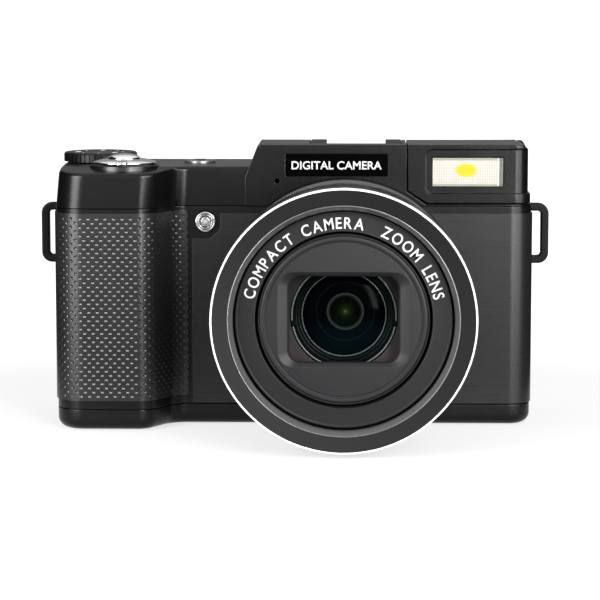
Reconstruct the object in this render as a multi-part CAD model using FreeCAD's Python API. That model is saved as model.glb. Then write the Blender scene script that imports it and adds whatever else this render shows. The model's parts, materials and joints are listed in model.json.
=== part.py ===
import FreeCAD, Part
import math
import os
from FreeCAD import Vector

# Compact digital camera, in millimetres. The origin is the mouth of the tripod socket, in the base
# plane under the lens. +X is the right of a viewer facing the lens, -Y is where the lens points.

# Overall size
left_x = -71.3
right_x = 45.9
front_y = -15.0
grip_y = -25.0
rear_y = 14.0
split_y = 8.0            # front cover meets rear cover
base_top_z = 5.1         # bottom cover meets front and rear covers
cover_top_z = 54.2       # front and rear covers meet top cover
deck_z = 63.8
hump_z = 69.2
wall = 1.6
gap = 0.3                # between a moving piece and what surrounds it
fit = 0.05               # radial play of a shaft in its bore

# Plan outline of the body: corner x, corner y, corner radius
plan = [
    (left_x, rear_y, 5.0),
    (left_x, -3.0, 20.0),
    (left_x + 1.2, grip_y, 7.0),
    (-47.5, grip_y, 5.0),
    (-41.5, front_y, 5.0),
    (right_x, front_y, 5.5),
    (right_x, rear_y, 5.0),
]

# Grip skin and brushed trim
skin_thick = 0.8
skin_right_x = -38.5
skin_z = (7.3, 53.1)
trim_thick = 0.3
trim_z = (5.4, 52.4)
trim_left_x = -37.5
trim_clear_r = 29.6

# Lens
lens_z = 31.5
base_tube_r = (28.5, 27.0)
base_flange_r = 29.2
ring_front_y = -60.0
ring_rear_y = -51.0
ring_r = 30.66
ring_bore_r = 25.5
trim_ring_inner_r = 29.9
control_r = (30.3, 28.8)
control_y = (-50.6, -40.5)
cam_r = (26.7, 25.6)
cam_y = (-49.0, -19.0)
outer_r = 25.2
outer_bore_r = 20.4
outer_y = (-56.2, -32.0)
inner_r = (19.9, 18.9)
inner_y = (-55.2, -32.0)
shield_r = 19.4
shield_y = (-55.7, -53.9)
window_w = 25.1
window_h = 19.8
window_corner = 2.2
leaf_r = 18.3
leaf_edge = 10.2
leaf_thick = 0.4
leaf_y = {"front": -53.5, "rear": -52.9}
retainer_r = (12.4, 9.9)
front_glass_r = 9.8
rear_glass_r = 8.0

# Zoom drive: ring gear inside the cam barrel, pinion on the motor shaft
gear_teeth = 96
pinion_teeth = 12
gear_module = 0.5
gear_y = (-24.0, -19.0)
pinion_angle = 135.0
shaft_r = 0.8
motor_r = 4.0

# Hump, name plate and shoe
hump_front_y = front_y - 0.8
hump_rear_y = 7.5
hump_left_x = -24.4
hump_top_left_x = -21.3
seam_x = 15.0            # right face of the hump, beside the flash
seam_low_z = 57.9
seam_foot_x = 19.8
plate_x = (-14.5, 10.4)
plate_z = (61.5, 66.9)
shoe_x = (-8.6, 14.0)
shoe_y = (-10.5, hump_rear_y)
shoe_floor_z = 65.4
shoe_slot_w = 18.6
shoe_slot_h = 2.0

# Pop-up flash
flash_front_y = -15.2
flash_right_x = 45.5
flash_bottom_z = 54.9
flash_pivot = (5.2, 66.8)
flash_knuckle_r = 2.4
flash_pin_r = 0.9
flash_ear_x = (43.1, 45.4)
flash_window_x = (21.6, 39.3)
flash_window_z = (58.7, 66.0)

# Top controls
dial_at = (-61.6, 2.5)
dial_r = 9.2
dial_z = (64.0, 66.4)
dial_grooves = 36
shutter_at = (-54.1, -13.5)
collar_r = 8.45
collar_z = (62.5, 64.2)
lever_r = (7.8, 4.4)
lever_z = (64.4, 65.7)
button_r = 4.0
button_z = (65.4, 67.0)
stem_r = 2.2
power_at = (-36.5, 1.5)
power_r = 3.2

# Lamp
lamp_at = (-34.2, 50.3)
lamp_r = 2.55
lamp_lens_r = 1.4

# Rear: flip-out screen and buttons (x, z, cap radius)
screen_x = (-31.0, 41.3)
screen_y = (10.3, 15.3)
screen_z = (5.9, 52.9)
hinge_at = (43.7, 13.0)
hinge_knuckle_r = 2.0
hinge_pin_r = 0.9
hinge_end = 6.0
recess_left_x = -31.8
recess_y = 10.0
recess_top_z = 53.3
pad_at = (-51.0, 25.0)
pad_r = (9.5, 4.2)
ok_r = 3.9
round_buttons = {
    "menu_button": (-60.0, 42.0, 3.0),
    "play_button": (-42.5, 42.0, 3.0),
    "record_button": (-51.0, 48.5, 2.2),
    "flash_release": (8.0, 57.6, 2.0),
}
cap_out = 0.8
cap_flange = 0.8

# Doors
door_thick = 1.2
battery_door_x = (-66.0, -47.6)
battery_door_y = (-17.0, 9.0)
port_door_y = (-6.0, 4.6)
port_door_z = (12.0, 34.0)
trunnion_r = 0.35
trunnion_long = 0.7

# Straps and tripod
lug_z = (38.7, 53.8)
lug_out = 5.0
lug_thick = 2.5
lug_bar = 2.0
bush_r = 5.0
bush_bore_r = 2.65
bush_bore_deep = 5.5
screw_spots = [(38.0, -9.0), (38.0, 9.0), (-28.0, -9.0), (-28.0, 9.0)]

# Inside
battery_box = (-64.0, -56.4, -19.5, 10.0, 8.0, 49.0)
card_box = (-53.0, -50.9, -14.0, 10.0, 8.0, 40.0)
chassis_x = (-48.0, 34.0)
chassis_y = (-2.4, -1.6)
chassis_z = (7.0, 52.0)
board_y = (4.0, 5.2)
post_spots = [(-40.0, 10.0), (-40.0, 30.0), (31.0, 47.0), (5.0, 10.0)]
far = 200.0


def box(x0, x1, y0, y1, z0, z1):
    return Part.makeBox(x1 - x0, y1 - y0, z1 - z0, Vector(x0, y0, z0))


def rod_x(radius, x0, x1, y, z):
    return Part.makeCylinder(radius, x1 - x0, Vector(x0, y, z), Vector(1, 0, 0))


def rod_y(radius, y0, y1, x=0.0, z=lens_z):
    return Part.makeCylinder(radius, y1 - y0, Vector(x, y0, z), Vector(0, 1, 0))


def rod_z(radius, z0, z1, x, y):
    return Part.makeCylinder(radius, z1 - z0, Vector(x, y, z0), Vector(0, 0, 1))


def ring_y(radii, y0, y1, x=0.0, z=lens_z):
    return rod_y(radii[0], y0, y1, x, z).cut(rod_y(radii[1], y0 - 1, y1 + 1, x, z))


def ring_z(radii, z0, z1, x, y):
    return rod_z(radii[0], z0, z1, x, y).cut(rod_z(radii[1], z0 - 1, z1 + 1, x, y))


def plate(points, direction):
    """Closed polygon of 3-D points pushed along a direction."""
    return Part.Face(Part.makePolygon(points + points[:1])).extrude(direction)


def front_plate(points, y0, y1):
    return plate([Vector(x, y0, z) for x, z in points], Vector(0, y1 - y0, 0))


def side_plate(points, x0, x1):
    return plate([Vector(x0, y, z) for y, z in points], Vector(x1 - x0, 0, 0))


def rounded_wire(corners):
    """Closed wire through (x, y, radius) corners, each turned by an arc."""
    edges = []
    starts = []
    ends = []
    count = len(corners)
    for i, (x, y, radius) in enumerate(corners):
        here = Vector(x, y, 0)
        before = Vector(*corners[i - 1][:2], 0)
        after = Vector(*corners[(i + 1) % count][:2], 0)
        to_before = (before - here).normalize()
        to_after = (after - here).normalize()
        half = to_before.getAngle(to_after) / 2
        middle = (to_before + to_after).normalize()
        centre = here + middle * (radius / math.sin(half))
        start = here + to_before * (radius / math.tan(half))
        end = here + to_after * (radius / math.tan(half))
        edges.append(Part.Arc(start, centre - middle * radius, end).toShape())
        starts.append(start)
        ends.append(end)
    for i in range(count):
        edges.append(Part.LineSegment(ends[i], starts[(i + 1) % count]).toShape())
    return Part.Wire(Part.__sortEdges__(edges))


def body_prism(offset, z0, z1):
    """The body's plan, grown or shrunk by an offset, between two heights."""
    wire = rounded_wire(plan)
    if offset:
        wire = wire.makeOffset2D(offset)
    face = Part.Face(wire)
    face.translate(Vector(0, 0, z0))
    return face.extrude(Vector(0, 0, z1 - z0))


def round_box_y(width, height, corner, y0, y1):
    """Rounded window shape centred on the lens axis."""
    block = box(-width / 2, width / 2, y0, y1, lens_z - height / 2, lens_z + height / 2)
    along = [e for e in block.Edges if abs(e.tangentAt(e.FirstParameter).y) > 0.9]
    return block.makeFillet(corner, along)


def toothed_wire(teeth, tip_r, root_r, phase, tip_share, root_share):
    """Closed outline of straight-sided teeth in the XZ plane about the origin."""
    points = []
    pitch = 2 * math.pi / teeth
    for i in range(teeth):
        centre = math.radians(phase) + i * pitch
        for radius, side in ((root_r, -root_share), (tip_r, -tip_share), (tip_r, tip_share), (root_r, root_share)):
            angle = centre + side * pitch / 2
            points.append(Vector(radius * math.cos(angle), 0, radius * math.sin(angle)))
    return points


def toothed_prism(points, y0, y1, x, z):
    moved = [p + Vector(x, y0, z) for p in points]
    return plate(moved, Vector(0, y1 - y0, 0))


# Covers

def grip_skin():
    shell = body_prism(0, *skin_z).cut(body_prism(-skin_thick, *skin_z))
    return shell.common(box(-far, skin_right_x, -far, split_y - 0.5, *skin_z))


def trim_shell():
    shell = body_prism(trim_thick, *trim_z).cut(body_prism(0, *trim_z))
    shell = shell.common(box(trim_left_x, far, -far, front_y + 3.5, *trim_z))
    notch = [(trim_left_x - 1, 46.2), (-33.0, 46.2), (-30.6, 48.3), (-30.3, 60.0), (trim_left_x - 1, 60.0)]
    shell = shell.cut(front_plate(notch, -20, 0))
    return shell.cut(rod_y(trim_clear_r, -20, 0))


def trim_panel(side):
    half = box(-far, 0, -far, far, 0, far)
    if side == "left":
        return trim_shell().common(half)
    return trim_shell().cut(half)


def front_cover():
    cover = body_prism(0, base_top_z, cover_top_z)
    cover = cover.cut(body_prism(-wall, 0, far)).cut(box(-far, far, split_y, far, 0, far))
    cover = cover.cut(grip_skin())
    cover = cover.cut(rod_y(rear_glass_r + 1.5, -30, 0))
    cover = cover.cut(rod_y(shaft_r + gap, -30, 0, *pinion_centre()))
    cover = cover.cut(rod_y(lamp_r, -30, 0, *lamp_at))
    opening_y = (port_door_y[0] - gap, port_door_y[1] + door_thick / 2 + gap)
    opening_z = (port_door_z[0] - gap, port_door_z[1] + gap)
    cover = cover.cut(box(right_x - wall - 1, far, *opening_y, *opening_z))
    return cover.cut(port_trunnions(trunnion_r + fit))


def rear_cover():
    cover = body_prism(0, base_top_z, cover_top_z).common(box(-far, far, split_y, far, 0, far))
    inner = body_prism(-wall, 0, far)
    cover = cover.cut(inner.common(box(-far, recess_left_x - wall, 0, rear_y - wall, 0, far)))
    cover = cover.cut(inner.common(box(-far, far, 0, recess_y - wall, 0, far)))
    cover = cover.cut(box(recess_left_x, far, recess_y, far, 0, recess_top_z))
    for name, (x, z, radius) in round_buttons.items():
        if z < cover_top_z:
            cover = cover.cut(rod_y(radius + gap, split_y, far, x, z))
    return cover.cut(rod_y(pad_r[0] + gap, split_y, far, *pad_at))


def bottom_cover():
    cover = body_prism(0, 0, base_top_z)
    low = [e for e in cover.Edges if e.BoundBox.ZMax < 0.01]
    cover = cover.makeFillet(2.5, low)
    cover = cover.cut(body_prism(-wall, wall, far))
    for x, y in screw_spots:
        cover = cover.fuse(rod_z(2.8, wall - 0.5, base_top_z, x, y))
        cover = cover.cut(screw(x, y))
    cover = cover.cut(rod_z(bush_r, -1, 9, 0, 0))
    x0, x1 = battery_door_x
    y0, y1 = battery_door_y
    cover = cover.cut(box(x0 - gap, x1 + door_thick / 2 + gap, y0 - gap, y1 + gap, -1, wall + 1))
    return cover.cut(battery_trunnions(trunnion_r + fit))


def hump_points(inset):
    return [
        (hump_left_x + inset, cover_top_z - inset),
        (hump_left_x + inset, 61.5),
        (hump_top_left_x - 1.9 + inset, deck_z + 0.2),
        (hump_top_left_x + inset, hump_z - inset),
        (seam_x - inset, hump_z - inset),
        (seam_x - inset, cover_top_z - inset),
    ]


def flash_bay():
    points = [
        (seam_x, hump_z + 9),
        (seam_x, seam_low_z),
        (seam_foot_x, flash_bottom_z - gap),
        (far, flash_bottom_z - gap),
        (far, hump_z + 9),
    ]
    return front_plate(points, -far, hump_rear_y + 0.4)


def top_cover():
    outer = body_prism(0, cover_top_z, deck_z)
    drop = [(-5.0, deck_z), (grip_y - 1, deck_z - 1.05), (grip_y - 1, deck_z + 1), (-5.0, deck_z + 1)]
    outer = outer.cut(side_plate(drop, left_x - 1, hump_left_x - 12))
    outer = outer.fuse(front_plate(hump_points(0), hump_front_y, hump_rear_y))
    foot = [(seam_x - 1, cover_top_z), (seam_foot_x, cover_top_z), (seam_foot_x, 54.6), (seam_x - 1, seam_low_z)]
    outer = outer.fuse(front_plate(foot, hump_front_y, front_y + 1))
    solid_right = box(seam_x - wall, far, -far, hump_rear_y + 0.4 + wall, 0, far)
    outer = outer.cut(body_prism(-wall, 0, deck_z - 2.8).cut(solid_right))
    outer = outer.cut(front_plate(hump_points(wall), hump_front_y + wall, hump_rear_y - wall))
    tongue = body_prism(-wall - 0.2, cover_top_z - 1.4, cover_top_z + 0.2).common(solid_right)
    tongue = tongue.cut(box(-far, far, split_y, far, 0, cover_top_z))
    outer = outer.fuse(tongue).cut(flash_bay())
    ear = box(*flash_ear_x, flash_pivot[0] - flash_knuckle_r, hump_rear_y + 2, cover_top_z, flash_pivot[1])
    ear = ear.fuse(rod_x(flash_knuckle_r, *flash_ear_x, *flash_pivot))
    ear = ear.cut(box(0, far, hump_rear_y + 0.1, far, deck_z - 1, far))
    outer = outer.fuse(ear)
    outer = outer.cut(rod_x(flash_pin_r, shoe_x[1], flash_ear_x[1] - 0.6, *flash_pivot))
    outer = outer.cut(name_plate())
    outer = outer.cut(box(*shoe_x, shoe_y[0], far, shoe_floor_z, far))
    outer = outer.cut(rod_y(base_flange_r, -far, front_y))
    outer = outer.cut(rod_z(collar_r, collar_z[0], far, *shutter_at))
    outer = outer.cut(rod_z(stem_r + gap, 0, far, *shutter_at))
    outer = outer.cut(rod_z(2.5 + fit, 0, far, *dial_at))
    outer = outer.cut(rod_z(power_r + gap, 0, far, *power_at))
    x, z, radius = round_buttons["flash_release"]
    return outer.cut(rod_y(radius + gap, hump_rear_y + 1, far, x, z))


def name_plate():
    return box(*plate_x, hump_front_y - 0.1, hump_front_y + 0.6, *plate_z)


def accessory_shoe():
    middle = (shoe_x[0] + shoe_x[1]) / 2
    block = box(*shoe_x, *shoe_y, shoe_floor_z, hump_z)
    slot_z = shoe_floor_z + 0.8
    half = shoe_slot_w / 2
    block = block.cut(box(middle - half, middle + half, shoe_y[0] + 1.5, far, slot_z, slot_z + shoe_slot_h))
    throat = half - 3.0
    return block.cut(box(middle - throat, middle + throat, shoe_y[0] + 1.5, far, slot_z, far))


def strap_lug(side):
    if side == "left":
        x0, x1 = left_x - lug_out, left_x
        slot = (x0 + lug_bar, x1 - 0.7)
    else:
        x0, x1 = right_x, right_x + lug_out
        slot = (x0 + 0.7, x1 - lug_bar)
    loop = box(x0, x1, -lug_thick / 2, lug_thick / 2, *lug_z)
    outer_x = x0 if side == "left" else x1
    ends = [e for e in loop.Edges if abs(e.BoundBox.XMin - outer_x) < 0.01 and e.BoundBox.XLength < 0.01
            and e.BoundBox.ZLength < 0.01]
    loop = loop.makeFillet(2.0, ends)
    return loop.cut(box(*slot, -9, 9, lug_z[0] + lug_bar, lug_z[1] - lug_bar))


def lamp_bezel():
    return ring_y((lamp_r, lamp_lens_r), front_y - 0.9, front_y + wall, *lamp_at)


def lamp_lens():
    return rod_y(lamp_lens_r, front_y - 0.4, front_y + wall, *lamp_at)


def tripod_bush():
    bush = rod_z(bush_r, 0, 7, 0, 0).fuse(rod_z(bush_r + 1.5, wall, wall + 1, 0, 0))
    return bush.cut(rod_z(bush_bore_r, -1, bush_bore_deep, 0, 0))


def screw(x, y):
    return rod_z(1.9, 0.4, 1.3, x, y).fuse(rod_z(1.0, 1.3, 5.0, x, y))


def case_screws():
    return Part.makeCompound([screw(x, y) for x, y in screw_spots])


# Inside

def chassis_frame():
    frame = box(*chassis_x, *chassis_y, *chassis_z)
    frame = frame.cut(box(-44, -30, -9, 9, 14, 26))
    for x, z in post_spots:
        frame = frame.fuse(rod_y(1.6, front_y + wall, board_y[0], x, z))
    return frame


def main_board():
    board = box(chassis_x[0], chassis_x[1], *board_y, *chassis_z)
    chips = [(-20, 26, 14), (0, 26, 12), (18, 36, 8), (-38, 38, 9)]
    for x, z, size in chips:
        board = board.fuse(box(x - size / 2, x + size / 2, board_y[1], board_y[1] + 1.2, z - size / 2, z + size / 2))
    return board


def image_sensor():
    package = box(-9, 9, chassis_y[0] - 1.6, chassis_y[0], lens_z - 8, lens_z + 8)
    return package.cut(box(-4, 4, -20, chassis_y[0] - 1.2, lens_z - 3, lens_z + 3))


def battery():
    return box(*battery_box)


def memory_card():
    card = box(*card_box)
    return card.cut(plate([Vector(-60, -14, 40), Vector(-60, -10, 40), Vector(-60, -14, 36)], Vector(20, 0, 0)))


def flash_capacitor():
    return rod_x(4.5, 8, 33, -8, 15)


def speaker():
    return rod_y(6, front_y + wall, front_y + wall + 3, -38, 41)


def port_sockets():
    block = box(36, right_x - wall - 0.2, -5, 5, 10, 36)
    block = block.cut(box(38, far, -1.6, 1.6, 14.5, 23.5))
    return block.cut(box(38, far, -1.6, 1.6, 26, 32.5))


# Lens

def lens_base():
    tube = ring_y(base_tube_r, ring_rear_y, front_y)
    tube = tube.fuse(ring_y((base_flange_r, rear_glass_r), front_y - 2, front_y))
    tube = tube.fuse(ring_y((29.6, base_tube_r[1]), control_y[1] + gap, control_y[1] + 2))
    return tube.cut(rod_y(shaft_r + gap, -30, 0, *pinion_centre()))


def front_ring():
    ring = ring_y((ring_r, ring_bore_r), ring_front_y, ring_rear_y)
    return ring.cut(ring_y((ring_r + 1, trim_ring_inner_r), ring_front_y - 1, ring_front_y + 1.8))


def chrome_trim():
    return ring_y((ring_r, trim_ring_inner_r), ring_front_y, ring_front_y + 1.8)


def control_ring():
    points = toothed_wire(90, control_r[0], control_r[0] - 0.35, 0, 0.45, 0.6)
    ring = toothed_prism(points, *control_y, 0, lens_z)
    return ring.cut(rod_y(control_r[1], -far, 0))


def cam_barrel():
    barrel = ring_y(cam_r, *cam_y)
    pitch_r = gear_teeth * gear_module / 2
    phase = pinion_angle
    points = toothed_wire(gear_teeth, pitch_r + 0.6, pitch_r - 0.4, phase, 0.52, 0.74)
    band = rod_y(cam_r[0] - 0.2, *gear_y).cut(toothed_prism(points, gear_y[0] - 1, gear_y[1] + 1, 0, lens_z))
    return barrel.fuse(band)


def pinion_centre():
    distance = (gear_teeth - pinion_teeth) * gear_module / 2
    angle = math.radians(pinion_angle)
    return distance * math.cos(angle), lens_z + distance * math.sin(angle)


def drive_pinion():
    pitch_r = pinion_teeth * gear_module / 2
    points = toothed_wire(pinion_teeth, pitch_r + 0.35, pitch_r - 0.6, pinion_angle, 0.18, 0.6)
    pinion = toothed_prism(points, *gear_y, *pinion_centre())
    return pinion.cut(rod_y(shaft_r + fit, -30, 0, *pinion_centre()))


def zoom_motor():
    motor = rod_y(motor_r, front_y + wall + 0.1, -4.5, *pinion_centre())
    return motor.fuse(rod_y(shaft_r, gear_y[0] - 0.3, -5, *pinion_centre()))


def outer_barrel():
    barrel = ring_y((outer_r, outer_r - 1.2), *outer_y)
    barrel = barrel.fuse(ring_y((outer_r, outer_bore_r), outer_y[0], outer_y[0] + 1.5))
    return barrel.fuse(ring_y((outer_r, outer_bore_r), outer_y[1] - 1.5, outer_y[1]))


def inner_barrel():
    barrel = ring_y(inner_r, *inner_y)
    return barrel.cut(ring_y((inner_r[0] + 1, shield_r), inner_y[0] - 1, shield_y[1]))


def lens_shield():
    disc = rod_y(inner_r[1], *shield_y).fuse(rod_y(shield_r, shield_y[0], inner_y[0]))
    return disc.cut(round_box_y(window_w, window_h, window_corner, -70, -50))


def barrier_leaf(half, layer):
    y0 = leaf_y[layer]
    leaf = rod_y(leaf_r, y0, y0 + leaf_thick)
    if half == "upper":
        return leaf.common(box(-far, far, -far, far, lens_z + leaf_edge, far))
    return leaf.common(box(-far, far, -far, far, -far, lens_z - leaf_edge))


def lens_retainer():
    holder = ring_y(retainer_r, -48.0, -42.5)
    return holder.fuse(ring_y((inner_r[1], retainer_r[1]), -43.5, -42.5))


def front_lens():
    glass = rod_y(retainer_r[1], -46.5, -43.0)
    dome = Part.makeSphere(22.0, Vector(0, -45.5 + 20.0, lens_z))
    return glass.common(dome)


def rear_lens():
    return rod_y(rear_glass_r, front_y - 2.6, front_y)


# Flash

def flash_points(inset):
    right = flash_right_x
    return [
        (seam_x + gap + inset, hump_z - inset),
        (seam_x + gap + inset, seam_low_z + inset),
        (seam_foot_x + 0.5 + inset / 2, flash_bottom_z + inset),
        (right - inset, flash_bottom_z + inset),
        (right - inset, hump_z - 3.0),
        (right - 0.9 - inset, hump_z - 0.9),
        (right - 3.0 - inset, hump_z - inset),
    ]


def flash_housing():
    y, z = flash_pivot
    block = front_plate(flash_points(0), flash_front_y, y)
    heel = box(seam_x + gap, flash_ear_x[0] - gap, y, y + flash_knuckle_r, seam_low_z, z)
    heel = heel.fuse(rod_x(flash_knuckle_r, seam_x + gap, flash_ear_x[0] - gap, y, z))
    block = block.cut(box(flash_ear_x[0] - gap, far, y - flash_knuckle_r - gap, far, 0, far)).fuse(heel)
    block = block.cut(front_plate(flash_points(wall), flash_front_y + wall, y - flash_knuckle_r - 1.5))
    block = block.cut(box(*flash_window_x, -far, 0, *flash_window_z))
    return block.cut(rod_x(flash_pin_r + fit, 0, 60, y, z))


def flash_window():
    lens = box(*flash_window_x, flash_front_y, flash_front_y + wall, *flash_window_z)
    x0, x1 = flash_window_x
    z0, z1 = flash_window_z
    return lens.fuse(box(x0 - 0.8, x1 + 0.8, flash_front_y + wall, flash_front_y + wall + 0.8, z0 - 0.8, z1 + 0.8))


def flash_reflector():
    x0, x1 = flash_window_x
    z0, z1 = flash_window_z
    y0 = flash_front_y + wall + 0.8
    return box(x0, x1, y0, y0 + 8, z0, z1).cut(box(x0 + 0.6, x1 - 0.6, y0 - 1, y0 + 7, z0 + 0.6, z1 - 0.6))


def flash_pin():
    return rod_x(flash_pin_r, shoe_x[1], flash_ear_x[1] - 0.6, *flash_pivot)


# Top controls

def mode_dial():
    points = toothed_wire(dial_grooves, dial_r, dial_r - 0.45, 0, 0.5, 0.75)
    moved = [Vector(p.x + dial_at[0], p.z + dial_at[1], dial_z[0]) for p in points]
    cap = plate(moved, Vector(0, 0, dial_z[1] - dial_z[0]))
    return cap.fuse(rod_z(2.5, deck_z - 4.5, dial_z[0] + 1, *dial_at))


def shutter_collar():
    return rod_z(collar_r, *collar_z, *shutter_at).cut(rod_z(stem_r + gap, 0, far, *shutter_at))


def zoom_lever():
    ring = ring_z(lever_r, *lever_z, *shutter_at)
    x, y = shutter_at
    tab = box(x - 1.6, x + 1.6, y - lever_r[0] - 1.4, y - lever_r[0] + 1, *lever_z)
    return ring.fuse(tab)


def shutter_button():
    cap = rod_z(button_r, *button_z, *shutter_at)
    return cap.fuse(rod_z(stem_r, deck_z - 4, button_z[0], *shutter_at))


def power_button():
    return rod_z(power_r, deck_z - 2.0, deck_z + 0.6, *power_at).fuse(
        rod_z(power_r + 0.8, deck_z - 4.2, deck_z - 3.1, *power_at)).fuse(
        rod_z(power_r, deck_z - 4, deck_z - 1, *power_at))


# Rear controls

def round_button(name):
    x, z, radius = round_buttons[name]
    cap = rod_y(radius, rear_y - wall - 0.4, rear_y + cap_out, x, z)
    return cap.fuse(rod_y(radius + cap_flange, rear_y - wall - 1.2, rear_y - wall - gap, x, z))


def direction_pad():
    pad = ring_y(pad_r, rear_y - wall - 0.4, rear_y + cap_out, *pad_at)
    flange = ring_y((pad_r[0] + cap_flange, pad_r[1]), rear_y - wall - 1.2, rear_y - wall - gap, *pad_at)
    return pad.fuse(flange)


def ok_button():
    return rod_y(ok_r, rear_y - wall - 1.2, rear_y + cap_out, *pad_at)


def screen_frame():
    slab = box(*screen_x, *screen_y, *screen_z)
    slab = slab.cut(box(screen_x[0] + 2, screen_x[1] - 2, screen_y[1] - 0.8, far, screen_z[0] + 2, screen_z[1] - 2))
    z0 = screen_z[0] + hinge_end + gap
    z1 = screen_z[1] - hinge_end - gap
    knuckle = rod_z(hinge_knuckle_r, z0, z1, *hinge_at)
    web = box(screen_x[1] - 1, hinge_at[0], hinge_at[1] - 1, hinge_at[1] + 1, z0, z1)
    return slab.fuse(knuckle).fuse(web).cut(rod_z(hinge_pin_r + fit, 0, far, *hinge_at))


def screen_glass():
    return box(screen_x[0] + 2, screen_x[1] - 2, screen_y[1] - 0.8, screen_y[1], screen_z[0] + 2, screen_z[1] - 2)


def screen_hinge():
    hinge = rod_z(hinge_pin_r, *screen_z, *hinge_at)
    for z0 in (screen_z[0], screen_z[1] - hinge_end):
        hinge = hinge.fuse(rod_z(hinge_knuckle_r, z0, z0 + hinge_end, *hinge_at))
        hinge = hinge.fuse(box(hinge_at[0] - 1.1, hinge_at[0] + 1.1, recess_y, hinge_at[1], z0, z0 + hinge_end))
    return hinge


# Doors

def battery_axis():
    return battery_door_x[1], 0.2 + door_thick / 2


def battery_trunnions(radius):
    x, z = battery_axis()
    y0, y1 = battery_door_y
    return rod_y(radius, y0 - trunnion_long - (radius - trunnion_r), y1 + trunnion_long + (radius - trunnion_r), x, z)


def battery_door():
    x, z = battery_axis()
    y0, y1 = battery_door_y
    door = box(battery_door_x[0], x, y0, y1, z - door_thick / 2, z + door_thick / 2)
    return door.fuse(rod_y(door_thick / 2, y0, y1, x, z)).fuse(battery_trunnions(trunnion_r))


def port_axis():
    return right_x - 0.2 - door_thick / 2, port_door_y[1]


def port_trunnions(radius):
    z0, z1 = port_door_z
    return rod_z(radius, z0 - trunnion_long - (radius - trunnion_r), z1 + trunnion_long + (radius - trunnion_r),
                 *port_axis())


def port_cover():
    x, y = port_axis()
    door = box(x - door_thick / 2, x + door_thick / 2, port_door_y[0], y, *port_door_z)
    return door.fuse(rod_z(door_thick / 2, *port_door_z, x, y)).fuse(port_trunnions(trunnion_r))


def all_parts():
    parts = {
        "front_cover": front_cover(),
        "trim_panel_left": trim_panel("left"),
        "trim_panel_right": trim_panel("right"),
        "grip_skin": grip_skin(),
        "top_cover": top_cover(),
        "name_plate": name_plate(),
        "rear_cover": rear_cover(),
        "bottom_cover": bottom_cover(),
        "accessory_shoe": accessory_shoe(),
        "strap_lug_left": strap_lug("left"),
        "strap_lug_right": strap_lug("right"),
        "lamp_bezel": lamp_bezel(),
        "lamp_lens": lamp_lens(),
        "tripod_bush": tripod_bush(),
        "case_screws": case_screws(),
        "chassis_frame": chassis_frame(),
        "main_board": main_board(),
        "image_sensor": image_sensor(),
        "battery": battery(),
        "memory_card": memory_card(),
        "flash_capacitor": flash_capacitor(),
        "speaker": speaker(),
        "port_sockets": port_sockets(),
        "lens_base": lens_base(),
        "front_ring": front_ring(),
        "chrome_trim": chrome_trim(),
        "control_ring": control_ring(),
        "cam_barrel": cam_barrel(),
        "drive_pinion": drive_pinion(),
        "zoom_motor": zoom_motor(),
        "outer_barrel": outer_barrel(),
        "inner_barrel": inner_barrel(),
        "lens_shield": lens_shield(),
        "lens_retainer": lens_retainer(),
        "front_lens": front_lens(),
        "rear_lens": rear_lens(),
        "flash_housing": flash_housing(),
        "flash_window": flash_window(),
        "flash_reflector": flash_reflector(),
        "flash_pin": flash_pin(),
        "mode_dial": mode_dial(),
        "shutter_collar": shutter_collar(),
        "zoom_lever": zoom_lever(),
        "shutter_button": shutter_button(),
        "power_button": power_button(),
        "direction_pad": direction_pad(),
        "ok_button": ok_button(),
        "screen_frame": screen_frame(),
        "screen_glass": screen_glass(),
        "screen_hinge": screen_hinge(),
        "battery_door": battery_door(),
        "port_cover": port_cover(),
    }
    for half in ("upper", "lower"):
        for layer in ("front", "rear"):
            parts[f"barrier_{half}_{layer}"] = barrier_leaf(half, layer)
    for name in round_buttons:
        parts[name] = round_button(name)
    return parts


def main():
    os.makedirs("parts", exist_ok=True)
    for name, shape in all_parts().items():
        shape = shape.removeSplitter()
        shape.exportStep(f"parts/{name}.step")
        print(name, len(shape.Solids), round(shape.Volume, 1), shape.isValid())


main()
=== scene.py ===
import json
import math
import bmesh
import bpy
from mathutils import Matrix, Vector

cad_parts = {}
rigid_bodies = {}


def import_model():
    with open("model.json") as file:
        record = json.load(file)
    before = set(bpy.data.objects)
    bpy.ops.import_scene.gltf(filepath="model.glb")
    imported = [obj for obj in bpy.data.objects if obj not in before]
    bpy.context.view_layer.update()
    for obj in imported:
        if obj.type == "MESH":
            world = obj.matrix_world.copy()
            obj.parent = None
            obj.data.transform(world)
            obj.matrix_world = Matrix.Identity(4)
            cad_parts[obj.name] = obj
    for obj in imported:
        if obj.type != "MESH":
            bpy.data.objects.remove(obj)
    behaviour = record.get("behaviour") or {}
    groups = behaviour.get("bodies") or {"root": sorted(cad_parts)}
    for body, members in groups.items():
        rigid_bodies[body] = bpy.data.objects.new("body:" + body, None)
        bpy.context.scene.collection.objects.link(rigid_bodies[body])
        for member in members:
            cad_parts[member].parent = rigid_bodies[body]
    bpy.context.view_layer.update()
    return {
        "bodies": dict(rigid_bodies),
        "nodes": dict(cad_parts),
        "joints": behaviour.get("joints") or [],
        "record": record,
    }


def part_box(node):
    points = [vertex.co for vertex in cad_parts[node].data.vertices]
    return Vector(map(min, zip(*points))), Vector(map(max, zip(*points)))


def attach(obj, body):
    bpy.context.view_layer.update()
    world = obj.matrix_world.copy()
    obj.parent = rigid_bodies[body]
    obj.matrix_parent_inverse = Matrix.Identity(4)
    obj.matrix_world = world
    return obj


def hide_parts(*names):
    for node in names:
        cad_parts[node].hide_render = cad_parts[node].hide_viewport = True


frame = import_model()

mm = 0.001
axisOf = {"X": Vector((1, 0, 0)), "Y": Vector((0, 1, 0)), "Z": Vector((0, 0, 1))}


def span(node):
    low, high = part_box(node)
    return Vector(low) / mm, Vector(high) / mm


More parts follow.
